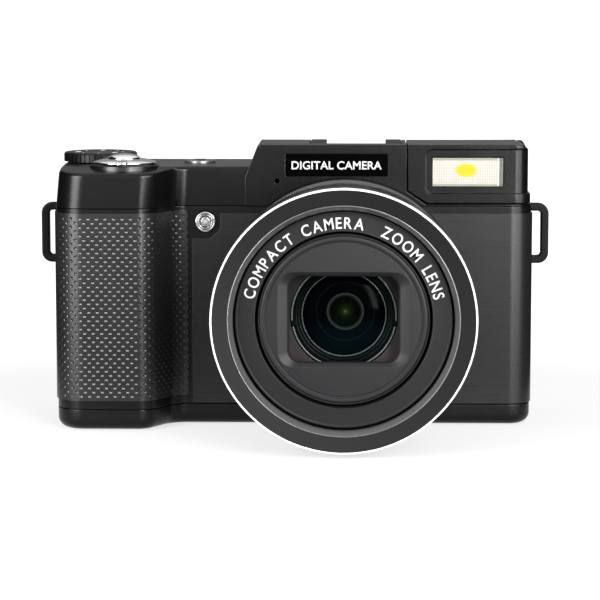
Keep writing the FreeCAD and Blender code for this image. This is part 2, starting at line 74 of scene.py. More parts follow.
# what the camera's maker would change first, in millimetres
body = {
    "left": span("front_cover")[0].x,
    "right": span("front_cover")[1].x,
    "grip": span("front_cover")[0].y,
    "front": span("lens_base")[1].y,
    "split": span("rear_cover")[0].y,
    "rear": span("rear_cover")[1].y,
    "baseSeam": span("front_cover")[0].z,
    "topSeam": span("front_cover")[1].z,
    "deck": 63.8,
    "wall": 1.6,
}
lensLow, lensHigh = span("front_ring")
lensZ = (lensLow.z + lensHigh.z) / 2


# small modelling tools, all in millimetres
class editing:
    def __init__(self, piece):
        self.piece = piece

    def __enter__(self):
        only(self.piece)
        bpy.ops.object.mode_set(mode="EDIT")

    def __exit__(self, *stopped):
        bpy.ops.object.mode_set(mode="OBJECT")


def deselect():
    bpy.ops.object.select_all(action="DESELECT")


def only(piece):
    deselect()
    piece.select_set(True)
    bpy.context.view_layer.objects.active = piece


def named(name):
    piece = bpy.context.active_object
    piece.name = name
    piece.data.name = name
    return piece


def pick(piece, kind, test):
    # selects what passes a test of its middle (mm) and the element itself
    bpy.ops.mesh.select_mode(type=kind)
    bpy.ops.mesh.select_all(action="DESELECT")
    mesh = bmesh.from_edit_mesh(piece.data)
    items = {"VERT": mesh.verts, "EDGE": mesh.edges, "FACE": mesh.faces}[kind]
    found = 0
    for item in items:
        if kind == "VERT":
            middle = item.co / mm
        elif kind == "EDGE":
            middle = (item.verts[0].co + item.verts[1].co) / 2 / mm
        else:
            middle = item.calc_center_median() / mm
        if test(middle, item):
            item.select_set(True)
            found += 1
    mesh.select_flush(True)
    bmesh.update_edit_mesh(piece.data)
    return found


def tidyMesh():
    bpy.ops.mesh.select_all(action="SELECT")
    bpy.ops.mesh.remove_doubles(threshold=0.002 * mm)
    bpy.ops.mesh.normals_make_consistent(inside=False)


def spotIn(plane, a, b, level):
    return {"XY": Vector((a, b, level)), "XZ": Vector((a, level, b)),
            "YZ": Vector((level, a, b))}[plane] * mm


def outline(name, corners, level, plane="XY", segments=8):
    # a flat face through the corners (a, b, radius), walked round by extruding one vertex
    deselect()
    bpy.ops.mesh.primitive_plane_add(size=mm)
    piece = named(name)
    spots = [spotIn(plane, c[0], c[1], level) for c in corners]
    with editing(piece):
        bpy.ops.mesh.select_mode(type="VERT")
        bpy.ops.mesh.select_all(action="SELECT")
        bpy.ops.mesh.merge(type="CENTER")
        bpy.ops.transform.translate(value=spots[0])
        for before, after in zip(spots, spots[1:]):
            bpy.ops.mesh.extrude_vertices_move(TRANSFORM_OT_translate={"value": after - before})
        bpy.ops.mesh.select_all(action="SELECT")
        bpy.ops.mesh.edge_face_add()
        # each corner that has a radius is rounded by a vertex bevel
        for i, corner in enumerate(corners):
            radius = corner[2] if len(corner) > 2 else 0
            if not radius:
                continue
            here = spots[i]
            toBefore = (spots[i - 1] - here).normalized()
            toAfter = (spots[(i + 1) % len(spots)] - here).normalized()
            reach = radius / math.tan(toBefore.angle(toAfter) / 2)
            pick(piece, "VERT", lambda middle, v: (v.co - here).length < 0.01 * mm)
            bpy.ops.mesh.bevel(offset=reach * mm, segments=segments, affect="VERTICES", clamp_overlap=False)
    return piece


def slab(name, corners, low, high, plane="XY", segments=8):
    piece = outline(name, corners, low, plane, segments)
    along = {"XY": axisOf["Z"], "XZ": axisOf["Y"], "YZ": axisOf["X"]}[plane]
    with editing(piece):
        bpy.ops.mesh.select_all(action="SELECT")
        bpy.ops.mesh.extrude_region_move(TRANSFORM_OT_translate={"value": along * (high - low) * mm})
        tidyMesh()
    return piece


def block(name, x, y, z, radius=0, plane="XZ", segments=6):
    a, b, c = {"XY": (x, y, z), "XZ": (x, z, y), "YZ": (y, z, x)}[plane]
    corners = [(a[0], b[0], radius), (a[1], b[0], radius), (a[1], b[1], radius), (a[0], b[1], radius)]
    return slab(name, corners, c[0], c[1], plane, segments)


def turned(name, profile, at=None, along="Y", sides=96, solid=False):
    # a circle extruded from ring to ring through (radius, place along the axis)
    centre = {"Y": lambda p: Vector((at[0], p, at[1])), "Z": lambda p: Vector((at[0], at[1], p)),
              "X": lambda p: Vector((p, at[0], at[1]))}[along]
    at = at or (0, lensZ)
    turn = {"Y": (math.pi / 2, 0, 0), "Z": (0, 0, 0), "X": (0, math.pi / 2, 0)}[along]
    deselect()
    fill = "NGON" if solid else "NOTHING"
    bpy.ops.mesh.primitive_circle_add(vertices=sides, radius=profile[0][0] * mm, fill_type=fill,
                                      location=centre(profile[0][1]) * mm, rotation=turn)
    piece = named(name)
    bpy.ops.object.transform_apply(location=True, rotation=True, scale=True)
    steps = profile[1:] + ([] if solid else profile[:1])
    with editing(piece):
        bpy.ops.mesh.select_mode(type="EDGE")
        bpy.ops.mesh.select_all(action="SELECT")
        radius, place = profile[0]
        for newRadius, newPlace in steps:
            bpy.ops.mesh.extrude_region_move(
                TRANSFORM_OT_translate={"value": axisOf[along] * (newPlace - place) * mm})
            share = newRadius / radius
            scale = [share, share, share]
            scale["XYZ".index(along)] = 1
            bpy.ops.transform.resize(value=scale, center_override=centre(newPlace) * mm)
            radius, place = newRadius, newPlace
        tidyMesh()
    return piece


def cut(piece, tool, how="DIFFERENCE"):
    only(piece)
    step = piece.modifiers.new("cut", "BOOLEAN")
    step.operation = how
    step.object = tool
    step.solver = "EXACT"
    bpy.ops.object.modifier_apply(modifier=step.name)
    bpy.data.objects.remove(tool)
    return piece


def join(piece, *others):
    only(piece)
    for other in others:
        other.select_set(True)
    bpy.ops.object.join()
    return piece


def bevelEdges(piece, width, segments, test):
    with editing(piece):
        if pick(piece, "EDGE", test):
            bpy.ops.mesh.bevel(offset=width * mm, segments=segments, affect="EDGES", clamp_overlap=False)


def smooth(piece, angle):
    only(piece)
    bpy.ops.object.shade_smooth_by_angle(angle=math.radians(angle))


def soften(piece, width=0.15, segments=2, angle=32, clamp=False):
    only(piece)
    if width:
        step = piece.modifiers.new("edge", "BEVEL")
        step.width = width * mm
        step.segments = segments
        step.limit_method = "ANGLE"
        step.angle_limit = math.radians(angle)
        step.use_clamp_overlap = clamp
        bpy.ops.object.modifier_apply(modifier=step.name)
    bpy.ops.object.shade_smooth_by_angle(angle=math.radians(angle + 4))
    step = piece.modifiers.new("shade", "WEIGHTED_NORMAL")
    step.keep_sharp = True
    bpy.ops.object.modifier_apply(modifier=step.name)
    return piece


def settle(piece, rides, slot, finish, *nodes):
    piece.data.materials.clear()
    piece.data.materials.append(finish)
    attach(piece, rides)
    if nodes:
        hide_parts(*nodes)
    return piece


# finishes
class Wire:
    def __init__(self, tree, socket):
        self.tree = tree
        self.socket = socket

    def maths(self, operation, first, second=None):
        node = self.tree.nodes.new("ShaderNodeMath")
        node.operation = operation
        for slotNumber, value in enumerate((first, second)):
            if isinstance(value, Wire):
                self.tree.links.new(value.socket, node.inputs[slotNumber])
            elif value is not None:
                node.inputs[slotNumber].default_value = value
        return Wire(self.tree, node.outputs[0])

    def __add__(self, other):
        return self.maths("ADD", self, other)

    def __radd__(self, other):
        return self.maths("ADD", other, self)

    def __sub__(self, other):
        return self.maths("SUBTRACT", self, other)

    def __rsub__(self, other):
        return self.maths("SUBTRACT", other, self)

    def __mul__(self, other):
        return self.maths("MULTIPLY", self, other)

    def __rmul__(self, other):
        return self.maths("MULTIPLY", other, self)

    def __pow__(self, other):
        return self.maths("POWER", self, other)

    def __lt__(self, other):
        return self.maths("LESS_THAN", self, other)

    def __gt__(self, other):
        return self.maths("GREATER_THAN", self, other)


class Finish:
    def __init__(self, name, color, roughness, metallic=0.0, **fixed):
        self.material = bpy.data.materials.new(name)
        self.material.use_nodes = True
        self.tree = self.material.node_tree
        self.shader = self.tree.nodes["Principled BSDF"]
        self.set("Base Color", (*color, 1))
        self.set("Roughness", roughness)
        self.set("Metallic", metallic)
        for word, value in fixed.items():
            self.set(word.replace("_", " "), value)

    def node(self, kind, settings=None, out=0, **values):
        node = self.tree.nodes.new("ShaderNode" + kind)
        for word, value in (settings or {}).items():
            if word == "stops":
                while len(node.color_ramp.elements) < len(value):
                    node.color_ramp.elements.new(0.5)
                for element, (place, shade) in zip(node.color_ramp.elements, value):
                    element.position = place
                    element.color = (*shade, 1)
            else:
                setattr(node, word, value)
        for word, value in values.items():
            socket = node.inputs[int(word[1:])] if word[1:].isdigit() else node.inputs[word.replace("_",
                                                                                                    " ")]
            if isinstance(value, Wire):
                self.tree.links.new(value.socket, socket)
            else:
                socket.default_value = value
        return Wire(self.tree, node.outputs[out])

    def set(self, word, value):
        socket = self.shader.inputs[word]
        if isinstance(value, Wire):
            self.tree.links.new(value.socket, socket)
        else:
            socket.default_value = value

    def place(self, centre=(0, 0, 0), scale=(1, 1, 1)):
        # Object coordinates in millimetres about a centre
        where = self.node("TexCoord", out=3)
        moved = self.node("VectorMath", {"operation": "SUBTRACT"}, s0=where, s1=Vector(centre) * mm)
        return self.node("VectorMath", {"operation": "MULTIPLY"}, s0=moved, s1=Vector(scale) / mm)

    def mix(self, share, first, second):
        return self.node("Mix", {"data_type": "RGBA"}, out=2, s0=share, s6=first, s7=second)

    def fade(self, value, start, end):
        # smooth rise from 0 at start to 1 at end
        return self.node("MapRange", {"interpolation_type": "SMOOTHSTEP"}, Value=value, From_Min=start,
                         From_Max=end,
                         To_Min=0.0, To_Max=1.0)

    def noise(self, vector, scale, detail=3.0, roughness=0.5):
        return self.node("TexNoise", Vector=vector, Scale=scale, Detail=detail, Roughness=roughness)

    def tones(self, factor, dark, light):
        return self.mix(factor, (*dark, 1), (*light, 1))

    def bump(self, height, depth, strength=1.0):
        self.set("Normal", self.node("Bump", Strength=strength, Distance=depth * mm, Height=height))


def shaded(color, share):
    return tuple(c * share for c in color)


def moulded(name, color, roughness, grain=6.0, depth=0.02, specular=0.3, spread=0.22, **fixed):
    # plastic or paint with a fine moulded grain and slow changes of tone
    finish = Finish(name, color, roughness, Specular_IOR_Level=specular, **fixed)
    where = finish.place()
    slow = finish.noise(where, 0.06, 4.0)
    fine = finish.noise(where, grain, 2.0, 0.6)
    finish.set("Base Color",
               finish.tones(slow * 0.6 + fine * 0.4, shaded(color, 1 - spread), shaded(color, 1 + spread)))
    finish.set("Roughness", slow * 0.1 + fine * 0.08 + (roughness - 0.09))
    finish.bump(fine, depth, 0.5)
    return finish.material


def brushed(name, color, roughness, metallic, lines=(0.06, 1.0, 9.0), contrast=0.45, depth=0.012,
            specular=0.4):
    # short scratches that run along X
    finish = Finish(name, color, roughness, metallic, Specular_IOR_Level=specular)
    streaks = finish.noise(finish.place(scale=lines), 1.0, 5.0, 0.7)
    wide = finish.noise(finish.place(scale=(0.015, 0.3, 1.6)), 1.0, 2.0)
    mix = streaks * 0.7 + wide * 0.3
    finish.set("Base Color", finish.tones(mix, shaded(color, 1 - contrast), shaded(color, 1 + contrast)))
    finish.set("Roughness", streaks * 0.2 + (roughness - 0.1))
    finish.bump(streaks, depth, 0.6)
    return finish.material


def polished(name, color, roughness, wear=0.05):
    finish = Finish(name, color, roughness, 1.0)
    where = finish.place()
    smudge = finish.noise(where, 0.25, 3.0)
    fine = finish.noise(where, 5.0, 3.0)
    finish.set("Base Color", finish.tones(smudge, shaded(color, 0.93), color))
    finish.set("Roughness", smudge * wear + fine * wear * 0.5 + roughness)
    finish.bump(fine, 0.002, 0.2)
    return finish.material


def turnedMetal(name, color, roughness, metallic, centre, specular=0.4, pitch=9.0):
    # faint rings left by the lathe, about an axis along Y
    finish = Finish(name, color, roughness, metallic, Specular_IOR_Level=specular)
    away = finish.node("VectorMath", {"operation": "LENGTH"}, out=1, s0=finish.place(centre, (1, 0, 1)))
    rings = finish.node("TexNoise", {"noise_dimensions": "1D"}, W=away * pitch, Scale=1.0, Detail=3.0)
    fine = finish.noise(finish.place(), 7.0, 2.0)
    mix = rings * 0.5 + fine * 0.5
    finish.set("Base Color", finish.tones(mix, shaded(color, 0.82), shaded(color, 1.18)))
    finish.set("Roughness", mix * 0.14 + (roughness - 0.07))
    finish.bump(mix, 0.01, 0.35)
    return finish.material


lensCentre = (0, 0, lensZ)
blackPlastic = moulded("blackPlastic", (0.0013, 0.0013, 0.0015), 0.27, specular=0.17)
gripRubber = moulded("gripRubber", (0.0060, 0.0060, 0.0065), 0.3, grain=4.0, depth=0.02, specular=0.30)
darkTrim = brushed("darkTrim", (0.0046, 0.0046, 0.0050), 0.30, 0.0, contrast=0.9, depth=0.02, specular=0.24)
glossBlack = moulded("glossBlack", (0.002, 0.002, 0.0023), 0.3, grain=1.2, depth=0.002, specular=0.4)
plateBlack = moulded("plateBlack", (0.0003, 0.0003, 0.0004), 0.25, grain=2.0, depth=0.003, specular=0.012)
ringBlack = turnedMetal("ringBlack", (0.020, 0.020, 0.021), 0.48, 0.0, lensCentre)
barrelBlack = turnedMetal("barrelBlack", (0.0046, 0.0046, 0.0049), 0.42, 0.0, lensCentre, specular=0.14)
shieldBlack = moulded("shieldBlack", (0.0056, 0.0056, 0.0061), 0.45, grain=8.0, depth=0.012, specular=0.15)
rimMetal = turnedMetal("rimMetal", (0.13, 0.13, 0.135), 0.3, 0.8, lensCentre)
chrome = polished("chrome", (0.88, 0.88, 0.89), 0.06)
# painted reflection: light grey paint in place of chrome, standing in for the white studio the trim
# reflects
paintedReflectionTrim = moulded("paintedReflectionTrim", (0.42, 0.42, 0.42), 0.3, grain=5.0, depth=0.003, specular=0.5,
                     spread=0.05)
blackMetal = moulded("blackMetal", (0.0012, 0.0012, 0.0013), 0.38, grain=10.0, depth=0.008, specular=0.08)
steel = brushed("steel", (0.45, 0.46, 0.48), 0.35, 1.0, contrast=0.15)
brassTurned = turnedMetal("brassTurned", (0.55, 0.40, 0.17), 0.3, 1.0, (0, 0, 0))
greenBoard = moulded("greenBoard", (0.02, 0.12, 0.05), 0.35, grain=0.8, depth=0.02, spread=0.3)
cellWrap = moulded("cellWrap", (0.03, 0.03, 0.04), 0.4, grain=1.5)
cardPlastic = moulded("cardPlastic", (0.02, 0.03, 0.07), 0.45, grain=3.0)
brightReflector = brushed("brightReflector", (0.8, 0.8, 0.78), 0.25, 1.0, lines=(2.0, 1.0, 0.2),
                          contrast=0.1)
whitePrint = moulded("whitePrint", (0.24, 0.24, 0.237), 0.5, grain=5.0, depth=0.004, spread=0.04)
deepBlack = moulded("deepBlack", (0.002, 0.002, 0.002), 0.7, grain=5.0, specular=0.05)
print("finishes ready")


# covers
def plan(inset=0.0):
    # the body's outline from above, as corners (x, y, radius), drawn in by an inset
    d = inset
    slant = 0.57 * d
    return [
        (body["left"] + d, body["rear"] - d, 5 - d),
        (body["left"] + d, -3, 20),
        (body["left"] + 1.2 + d, body["grip"] + d, 7 - d),
        (-47.5 - slant, body["grip"] + d, 5 - d),
        (-41.5 - slant, body["front"] + d, 5 + d),
        (body["right"] - d, body["front"] + d, 5.5 - d),
        (body["right"] - d, body["rear"] - d, 5 - d),
    ]


def planBand(name, low, high, thickness, keep=()):
    # a wall that follows the outline; keep lists (x, y, z, normal) of the cuts that bound it
    piece = outline(name, plan(), low, segments=12)
    with editing(piece):
        bpy.ops.mesh.select_all(action="SELECT")
        bpy.ops.mesh.delete(type="ONLY_FACE")
        bpy.ops.mesh.select_all(action="SELECT")
        bpy.ops.mesh.extrude_region_move(TRANSFORM_OT_translate={"value": (0, 0, (high - low) * mm)})
        for spot, normal in keep:
            bpy.ops.mesh.select_all(action="SELECT")
            bpy.ops.mesh.bisect(plane_co=Vector(spot) * mm, plane_no=normal, clear_outer=True)
        tidyMesh()
    only(piece)
    step = piece.modifiers.new("wall", "SOLIDIFY")
    step.thickness = abs(thickness) * mm
    step.offset = 1 if thickness > 0 else -1
    step.use_even_offset = True
    bpy.ops.object.modifier_apply(modifier=step.name)
    with editing(piece):
        tidyMesh()
    return piece


def makeFrontCover():
    cover = planBand("frontCover", body["baseSeam"] + 0.06, body["topSeam"] - 0.06, -body["wall"],
                     [((0, body["split"] - 0.05, 0), (0, 1, 0))])
    lampLow, lampHigh = span("lamp_bezel")
    lampSpot = ((lampLow.x + lampHigh.x) / 2, (lampLow.z + lampHigh.z) / 2)
    cut(cover, turned("hole", [(9, -30), (9, 0)], solid=True))
    cut(cover, turned("hole", [(2.75, -30), (2.75, 0)], lampSpot, solid=True, sides=48))
    portLow, portHigh = span("port_cover")
    cut(cover, block("hole", (40, 60), (portLow.y - 0.25, portHigh.y + 0.25),
                     (portLow.z + 0.45, portHigh.z - 0.45)))
    soften(cover, 0.18)
    settle(cover, "body", "body_plastic", blackPlastic, "front_cover")


screwSpots = [(x, y) for x in (-28, 38) for y in (-9, 9)]


def makeBottomCover():
    floorRound = 2.6
    cover = slab("bottomCover", plan(), 0, body["baseSeam"] - 0.06, segments=12)
    bevelEdges(cover, floorRound, 6, lambda middle, e: middle.z < 0.01 and e.is_manifold)
    cut(cover, slab("hollow", plan(body["wall"]), body["wall"], 9))
    cut(cover, turned("hole", [(5.05, -1), (5.05, 9)], (0, 0), "Z", 64, True))
    low, high = span("battery_door")
    cut(cover,
        block("hole", (low.x - 0.25, high.x + 0.25), (low.y + 0.45, high.y - 0.45), (-1, 4), 0.8, "XY"))
    for spot in screwSpots:
        boss = turned("boss", [(2.8, body["wall"] - 0.4), (2.8, body["baseSeam"] - 0.3)], spot, "Z", 32,
                      True)
        cut(cover, boss, "UNION")
        cut(cover, turned("hole", [(2.1, -1), (2.1, 1.3)], spot, "Z", 32, True))
        cut(cover, turned("hole", [(1.05, 0), (1.05, 6)], spot, "Z", 24, True))
    soften(cover, 0.15)
    settle(cover, "body", "body_plastic", blackPlastic, "bottom_cover")


def makeRearCover():
    recess = {"left": -31.8, "deep": 10.0, "top": 53.3}
    cover = slab("rearCover", plan(), body["baseSeam"] + 0.06, body["topSeam"] - 0.06, segments=12)
    with editing(cover):
        bpy.ops.mesh.select_all(action="SELECT")
        bpy.ops.mesh.bisect(plane_co=(0, (body["split"] + 0.05) * mm, 0), plane_no=(0, -1, 0),
                            use_fill=True, clear_outer=True)
    wall = body["wall"]
    cut(cover, block("hollow", (body["left"] + 2.6, recess["left"] - wall), (0, body["rear"] - wall),
                     (6.7, 52.6), 1, "XZ"))
    cut(cover, block("recess", (recess["left"], 60), (recess["deep"], 20), (0, recess["top"]), 0.6, "XZ"))
    for name in ("menu_button", "play_button", "record_button", "direction_pad"):
        low, high = span(name)
        middle = (low + high) / 2
        radius = (high.x - low.x) / 2 - 0.8 + 0.25
        cut(cover, turned("hole", [(radius, 11), (radius, 15)], (middle.x, middle.z), sides=64, solid=True))
    soften(cover, 0.35, 3)
    settle(cover, "body", "body_plastic", blackPlastic, "rear_cover")


hump = {
    "front": body["front"] - 0.8,
    "back": 7.5,
    "top": span("top_cover")[1].z,
    "left": -24.4,
    "topLeft": -21.3,
    "seam": 15.0,
    "seamLow": 57.9,
    "foot": 19.8,
    "flashFloor": 54.6,
    "mic": (-16.6, 60.3),
    "micRadius": 0.62,
    "micDeep": 2.5,
}
# radii of the round openings in the top cover
openings = {"lens": 29.6, "dish": 8.5, "spindle": 2.6, "power": 3.45, "release": 2.2}
# ear beside the flash that its hinge sits in
ear = {"left": 43.1, "right": 45.4, "front": 2.8, "back": 7.6, "top": 69.2, "round": 2.39}


def makeTopCover():
    deckRound = 1.0
    slope = {"start": body["front"] + 0.1, "drop": 1.05}
    cover = slab("topCover", plan(), body["topSeam"] + 0.06, body["deck"], segments=12)
    tilt = math.atan2(slope["drop"], slope["start"] - body["grip"])
    with editing(cover):
        # the ends lean in a little towards the deck
        pick(cover, "VERT", lambda middle, v: middle.z > body["deck"] - 0.01)
        bpy.ops.transform.resize(value=(0.9885, 1, 1), center_override=(0.008, 0, 0))
        bpy.ops.mesh.select_all(action="SELECT")
        bpy.ops.mesh.bisect(plane_co=Vector((0, slope["start"], body["deck"])) * mm,
                            plane_no=(0, -math.sin(tilt), math.cos(tilt)), use_fill=True, clear_outer=True)
        tidyMesh()

    def onRim(middle, e):
        flat = [f for f in e.link_faces if f.normal.z > 0.9]
        return middle.z > body["deck"] - slope["drop"] - 0.2 and len(flat) == 1

    bevelEdges(cover, deckRound, 4, onRim)
    corners = [
        (hump["left"], body["topSeam"] + 0.06),
        (hump["left"], 61.2, 2.0),
        (hump["topLeft"] - 1.9, body["deck"] + 0.5, 2.0),
        (hump["topLeft"], hump["top"], 0.9),
        (hump["seam"], hump["top"]),
        (hump["seam"], hump["seamLow"]),
        (hump["foot"], hump["flashFloor"]),
        (hump["foot"], body["topSeam"] + 0.06),
    ]
    front = slab("hump", corners, hump["front"], hump["back"], "XZ")
    bevelEdges(front, 0.7, 3, lambda middle,
               e: middle.z > hump["top"] - 0.01 and abs(middle.y - hump["front"]) < 0.01)
    bevelEdges(front, 1.6, 4, lambda middle,
               e: middle.z > hump["top"] - 0.01 and abs(middle.y - hump["back"]) < 0.01)
    cut(cover, front, "UNION")
    hollow = slab("hollow", plan(body["wall"]), 50, 61)
    cut(hollow, block("keep", (hump["seam"] - 1.6, 60), (-40, hump["back"] + 2), (40, 70)))
    cut(cover, hollow)
    cut(cover, block("hollow", (hump["left"] + 3.6, hump["seam"] - 1.6),
                     (hump["front"] + 1.6, hump["back"] - 1.6), (53, 64.4)))
    bay = [(hump["seam"], 90), (hump["seam"], hump["seamLow"]), (hump["foot"], hump["flashFloor"]),
           (90, hump["flashFloor"]), (90, 90)]
    cut(cover, slab("bay", bay, -40, hump["back"] + 0.4, "XZ"))
    side = [(ear["front"], body["topSeam"] + 0.3), (ear["front"], ear["top"], ear["round"]),
            (ear["back"], ear["top"], ear["round"]), (ear["back"], body["topSeam"] + 0.3)]
    lug = slab("ear", side, ear["left"], ear["right"], "YZ")
    cut(lug, slab("round", [(44.0, 69.3), (44.6, 68.9), (45.1, 68.1), (45.5, 66.8), (46, 66.8), (46, 69.3)],
                  0, 9, "XZ"))
    cut(cover, lug, "UNION")
    low, high = span("accessory_shoe")
    cut(cover,
        block("pocket", (low.x - 0.1, high.x + 0.1), (low.y - 0.1, 20), (low.z - 0.02, 80), 0.4, "XY"))
    cut(cover,
        turned("clear", [(openings["lens"], -40), (openings["lens"], body["front"] - 0.02)], solid=True))
    dishLow, dishHigh = span("shutter_collar")
    dish = (dishLow + dishHigh) / 2
    cut(cover,
        turned("dish", [(openings["dish"], 61.8), (openings["dish"], 80)], (dish.x, dish.y), "Z", 96, True))
    cut(cover, turned("stem", [(openings["spindle"], 50), (openings["spindle"], 80)], (dish.x, dish.y), "Z",
                      32, True))
    dialLow, dialHigh = span("mode_dial")
    cut(cover, turned("spindle", [(openings["spindle"], 50), (openings["spindle"], 80)],
                      ((dialLow.x + dialHigh.x) / 2, (dialLow.y + dialHigh.y) / 2), "Z", 32, True))
    powerLow, powerHigh = span("power_button")
    power = (powerLow + powerHigh) / 2
    cut(cover, turned("power", [(openings["power"], 50), (openings["power"], 80)], (power.x, power.y), "Z",
                      48, True))
    low, high = span("flash_release")
    release = (low + high) / 2
    cut(cover, turned("release", [(openings["release"], 10), (openings["release"], 20)],
                      (release.x, release.z), sides=32, solid=True))
    low, high = span("name_plate")
    cut(cover, block("recess", (low.x - 0.12, high.x + 0.12), (-20, hump["front"] + 0.5),
                     (low.z - 0.12, high.z + 0.12), 0.25))
    cut(cover,
        turned("mic", [(hump["micRadius"], -20), (hump["micRadius"], hump["front"] + hump["micDeep"])],
               hump["mic"], sides=24, solid=True))
    soften(cover, 0.12, 2, 38)
    settle(cover, "body", "body_plastic", blackPlastic, "top_cover")


makeFrontCover()
makeBottomCover()
makeRearCover()
makeTopCover()
print("covers ready")


# lens, from the mount on the body out to the glass
lens = {
    "knurls": 150,
    "knurlDepth": 0.35,
    "windowWide": (31.0, 22.2),
    "window": (25.1, 19.8),
    "words": "COMPACT CAMERA  ZOOM LENS",
    "wordsFrom": -77.0,
    "wordsTo": 77.0,
    "wordsRadius": 21.15,
    "wordsSize": 3.72,
    "wordsNarrow": 0.86,
    "wordsWeight": 0.012,
}


def shadedPlate():
    # the plate behind the window, greyer below and black above, where shade is painted on its top
    finish = Finish("greyPlate", (0.0105, 0.008, 0.008), 0.55, Specular_IOR_Level=0.15)
    height = finish.node("SeparateXYZ", out=2, Vector=finish.place(lensCentre))
    low = finish.fade(height, 0.5, -5.0)
    fine = finish.noise(finish.place(), 5.0, 2.0)
    # painted shade: the tone fades to black towards the top of the plate
    finish.set("Base Color",
               finish.tones(low * (fine * 0.3 + 0.85), (0.0006, 0.0005, 0.0006), (0.0115, 0.0088, 0.0088)))
    finish.bump(fine, 0.01, 0.5)
    return finish.material


greyPlate = shadedPlate()


def letterMesh(name, words, size, weight, thick):
    deselect()
    bpy.ops.object.text_add()
    letter = named(name)
    letter.data.body = words
    letter.data.size = size * mm
    letter.data.offset = weight * size * mm
    letter.data.extrude = thick / 2 * mm
    letter.data.resolution_u = 5
    bpy.ops.object.convert(target="MESH")
    return named(name)


def ringWords():
    # one letter after another round the lens axis, spaced by their own widths
    letters, widths = [], []
    for i, sign in enumerate(lens["words"]):
        if sign == " ":
            letters.append(None)
            widths.append(lens["wordsSize"] * 0.36)
            continue
        letter = letterMesh(f"ringLetter{i}", sign, lens["wordsSize"], lens["wordsWeight"], 0.06)
        across = [v.co.x / mm for v in letter.data.vertices]
        with editing(letter):
            bpy.ops.mesh.select_all(action="SELECT")
            bpy.ops.transform.translate(value=(-(min(across) + max(across)) / 2 * mm, 0, 0))
            bpy.ops.transform.resize(value=(lens["wordsNarrow"], 1, 1), center_override=(0, 0, 0))
        letters.append(letter)
        widths.append((max(across) - min(across)) * lens["wordsNarrow"])
    reach = math.radians(lens["wordsTo"] - lens["wordsFrom"]) * (lens["wordsRadius"] + 1.0)
    gap = (reach - sum(widths)) / (len(widths) - 1)
    along = 0
    face = span("outer_barrel")[0].y
    for letter, width in zip(letters, widths):
        angle = math.radians(lens["wordsFrom"]) + (along + width / 2) / (lens["wordsRadius"] + 1.0)
        along += width + gap
        if letter:
            letter.rotation_euler = (math.pi / 2, angle, 0)
            letter.location = Vector((math.sin(angle) * lens["wordsRadius"], face - 0.01,
                                      lensZ + math.cos(angle) * lens["wordsRadius"])) * mm
            only(letter)
            bpy.ops.object.transform_apply(location=True, rotation=True, scale=True)
    letters = [letter for letter in letters if letter]
    words = join(letters[0], *letters[1:])
    words.name = "ringWords"
    return settle(words, "outer_barrel", "white_print", whitePrint)


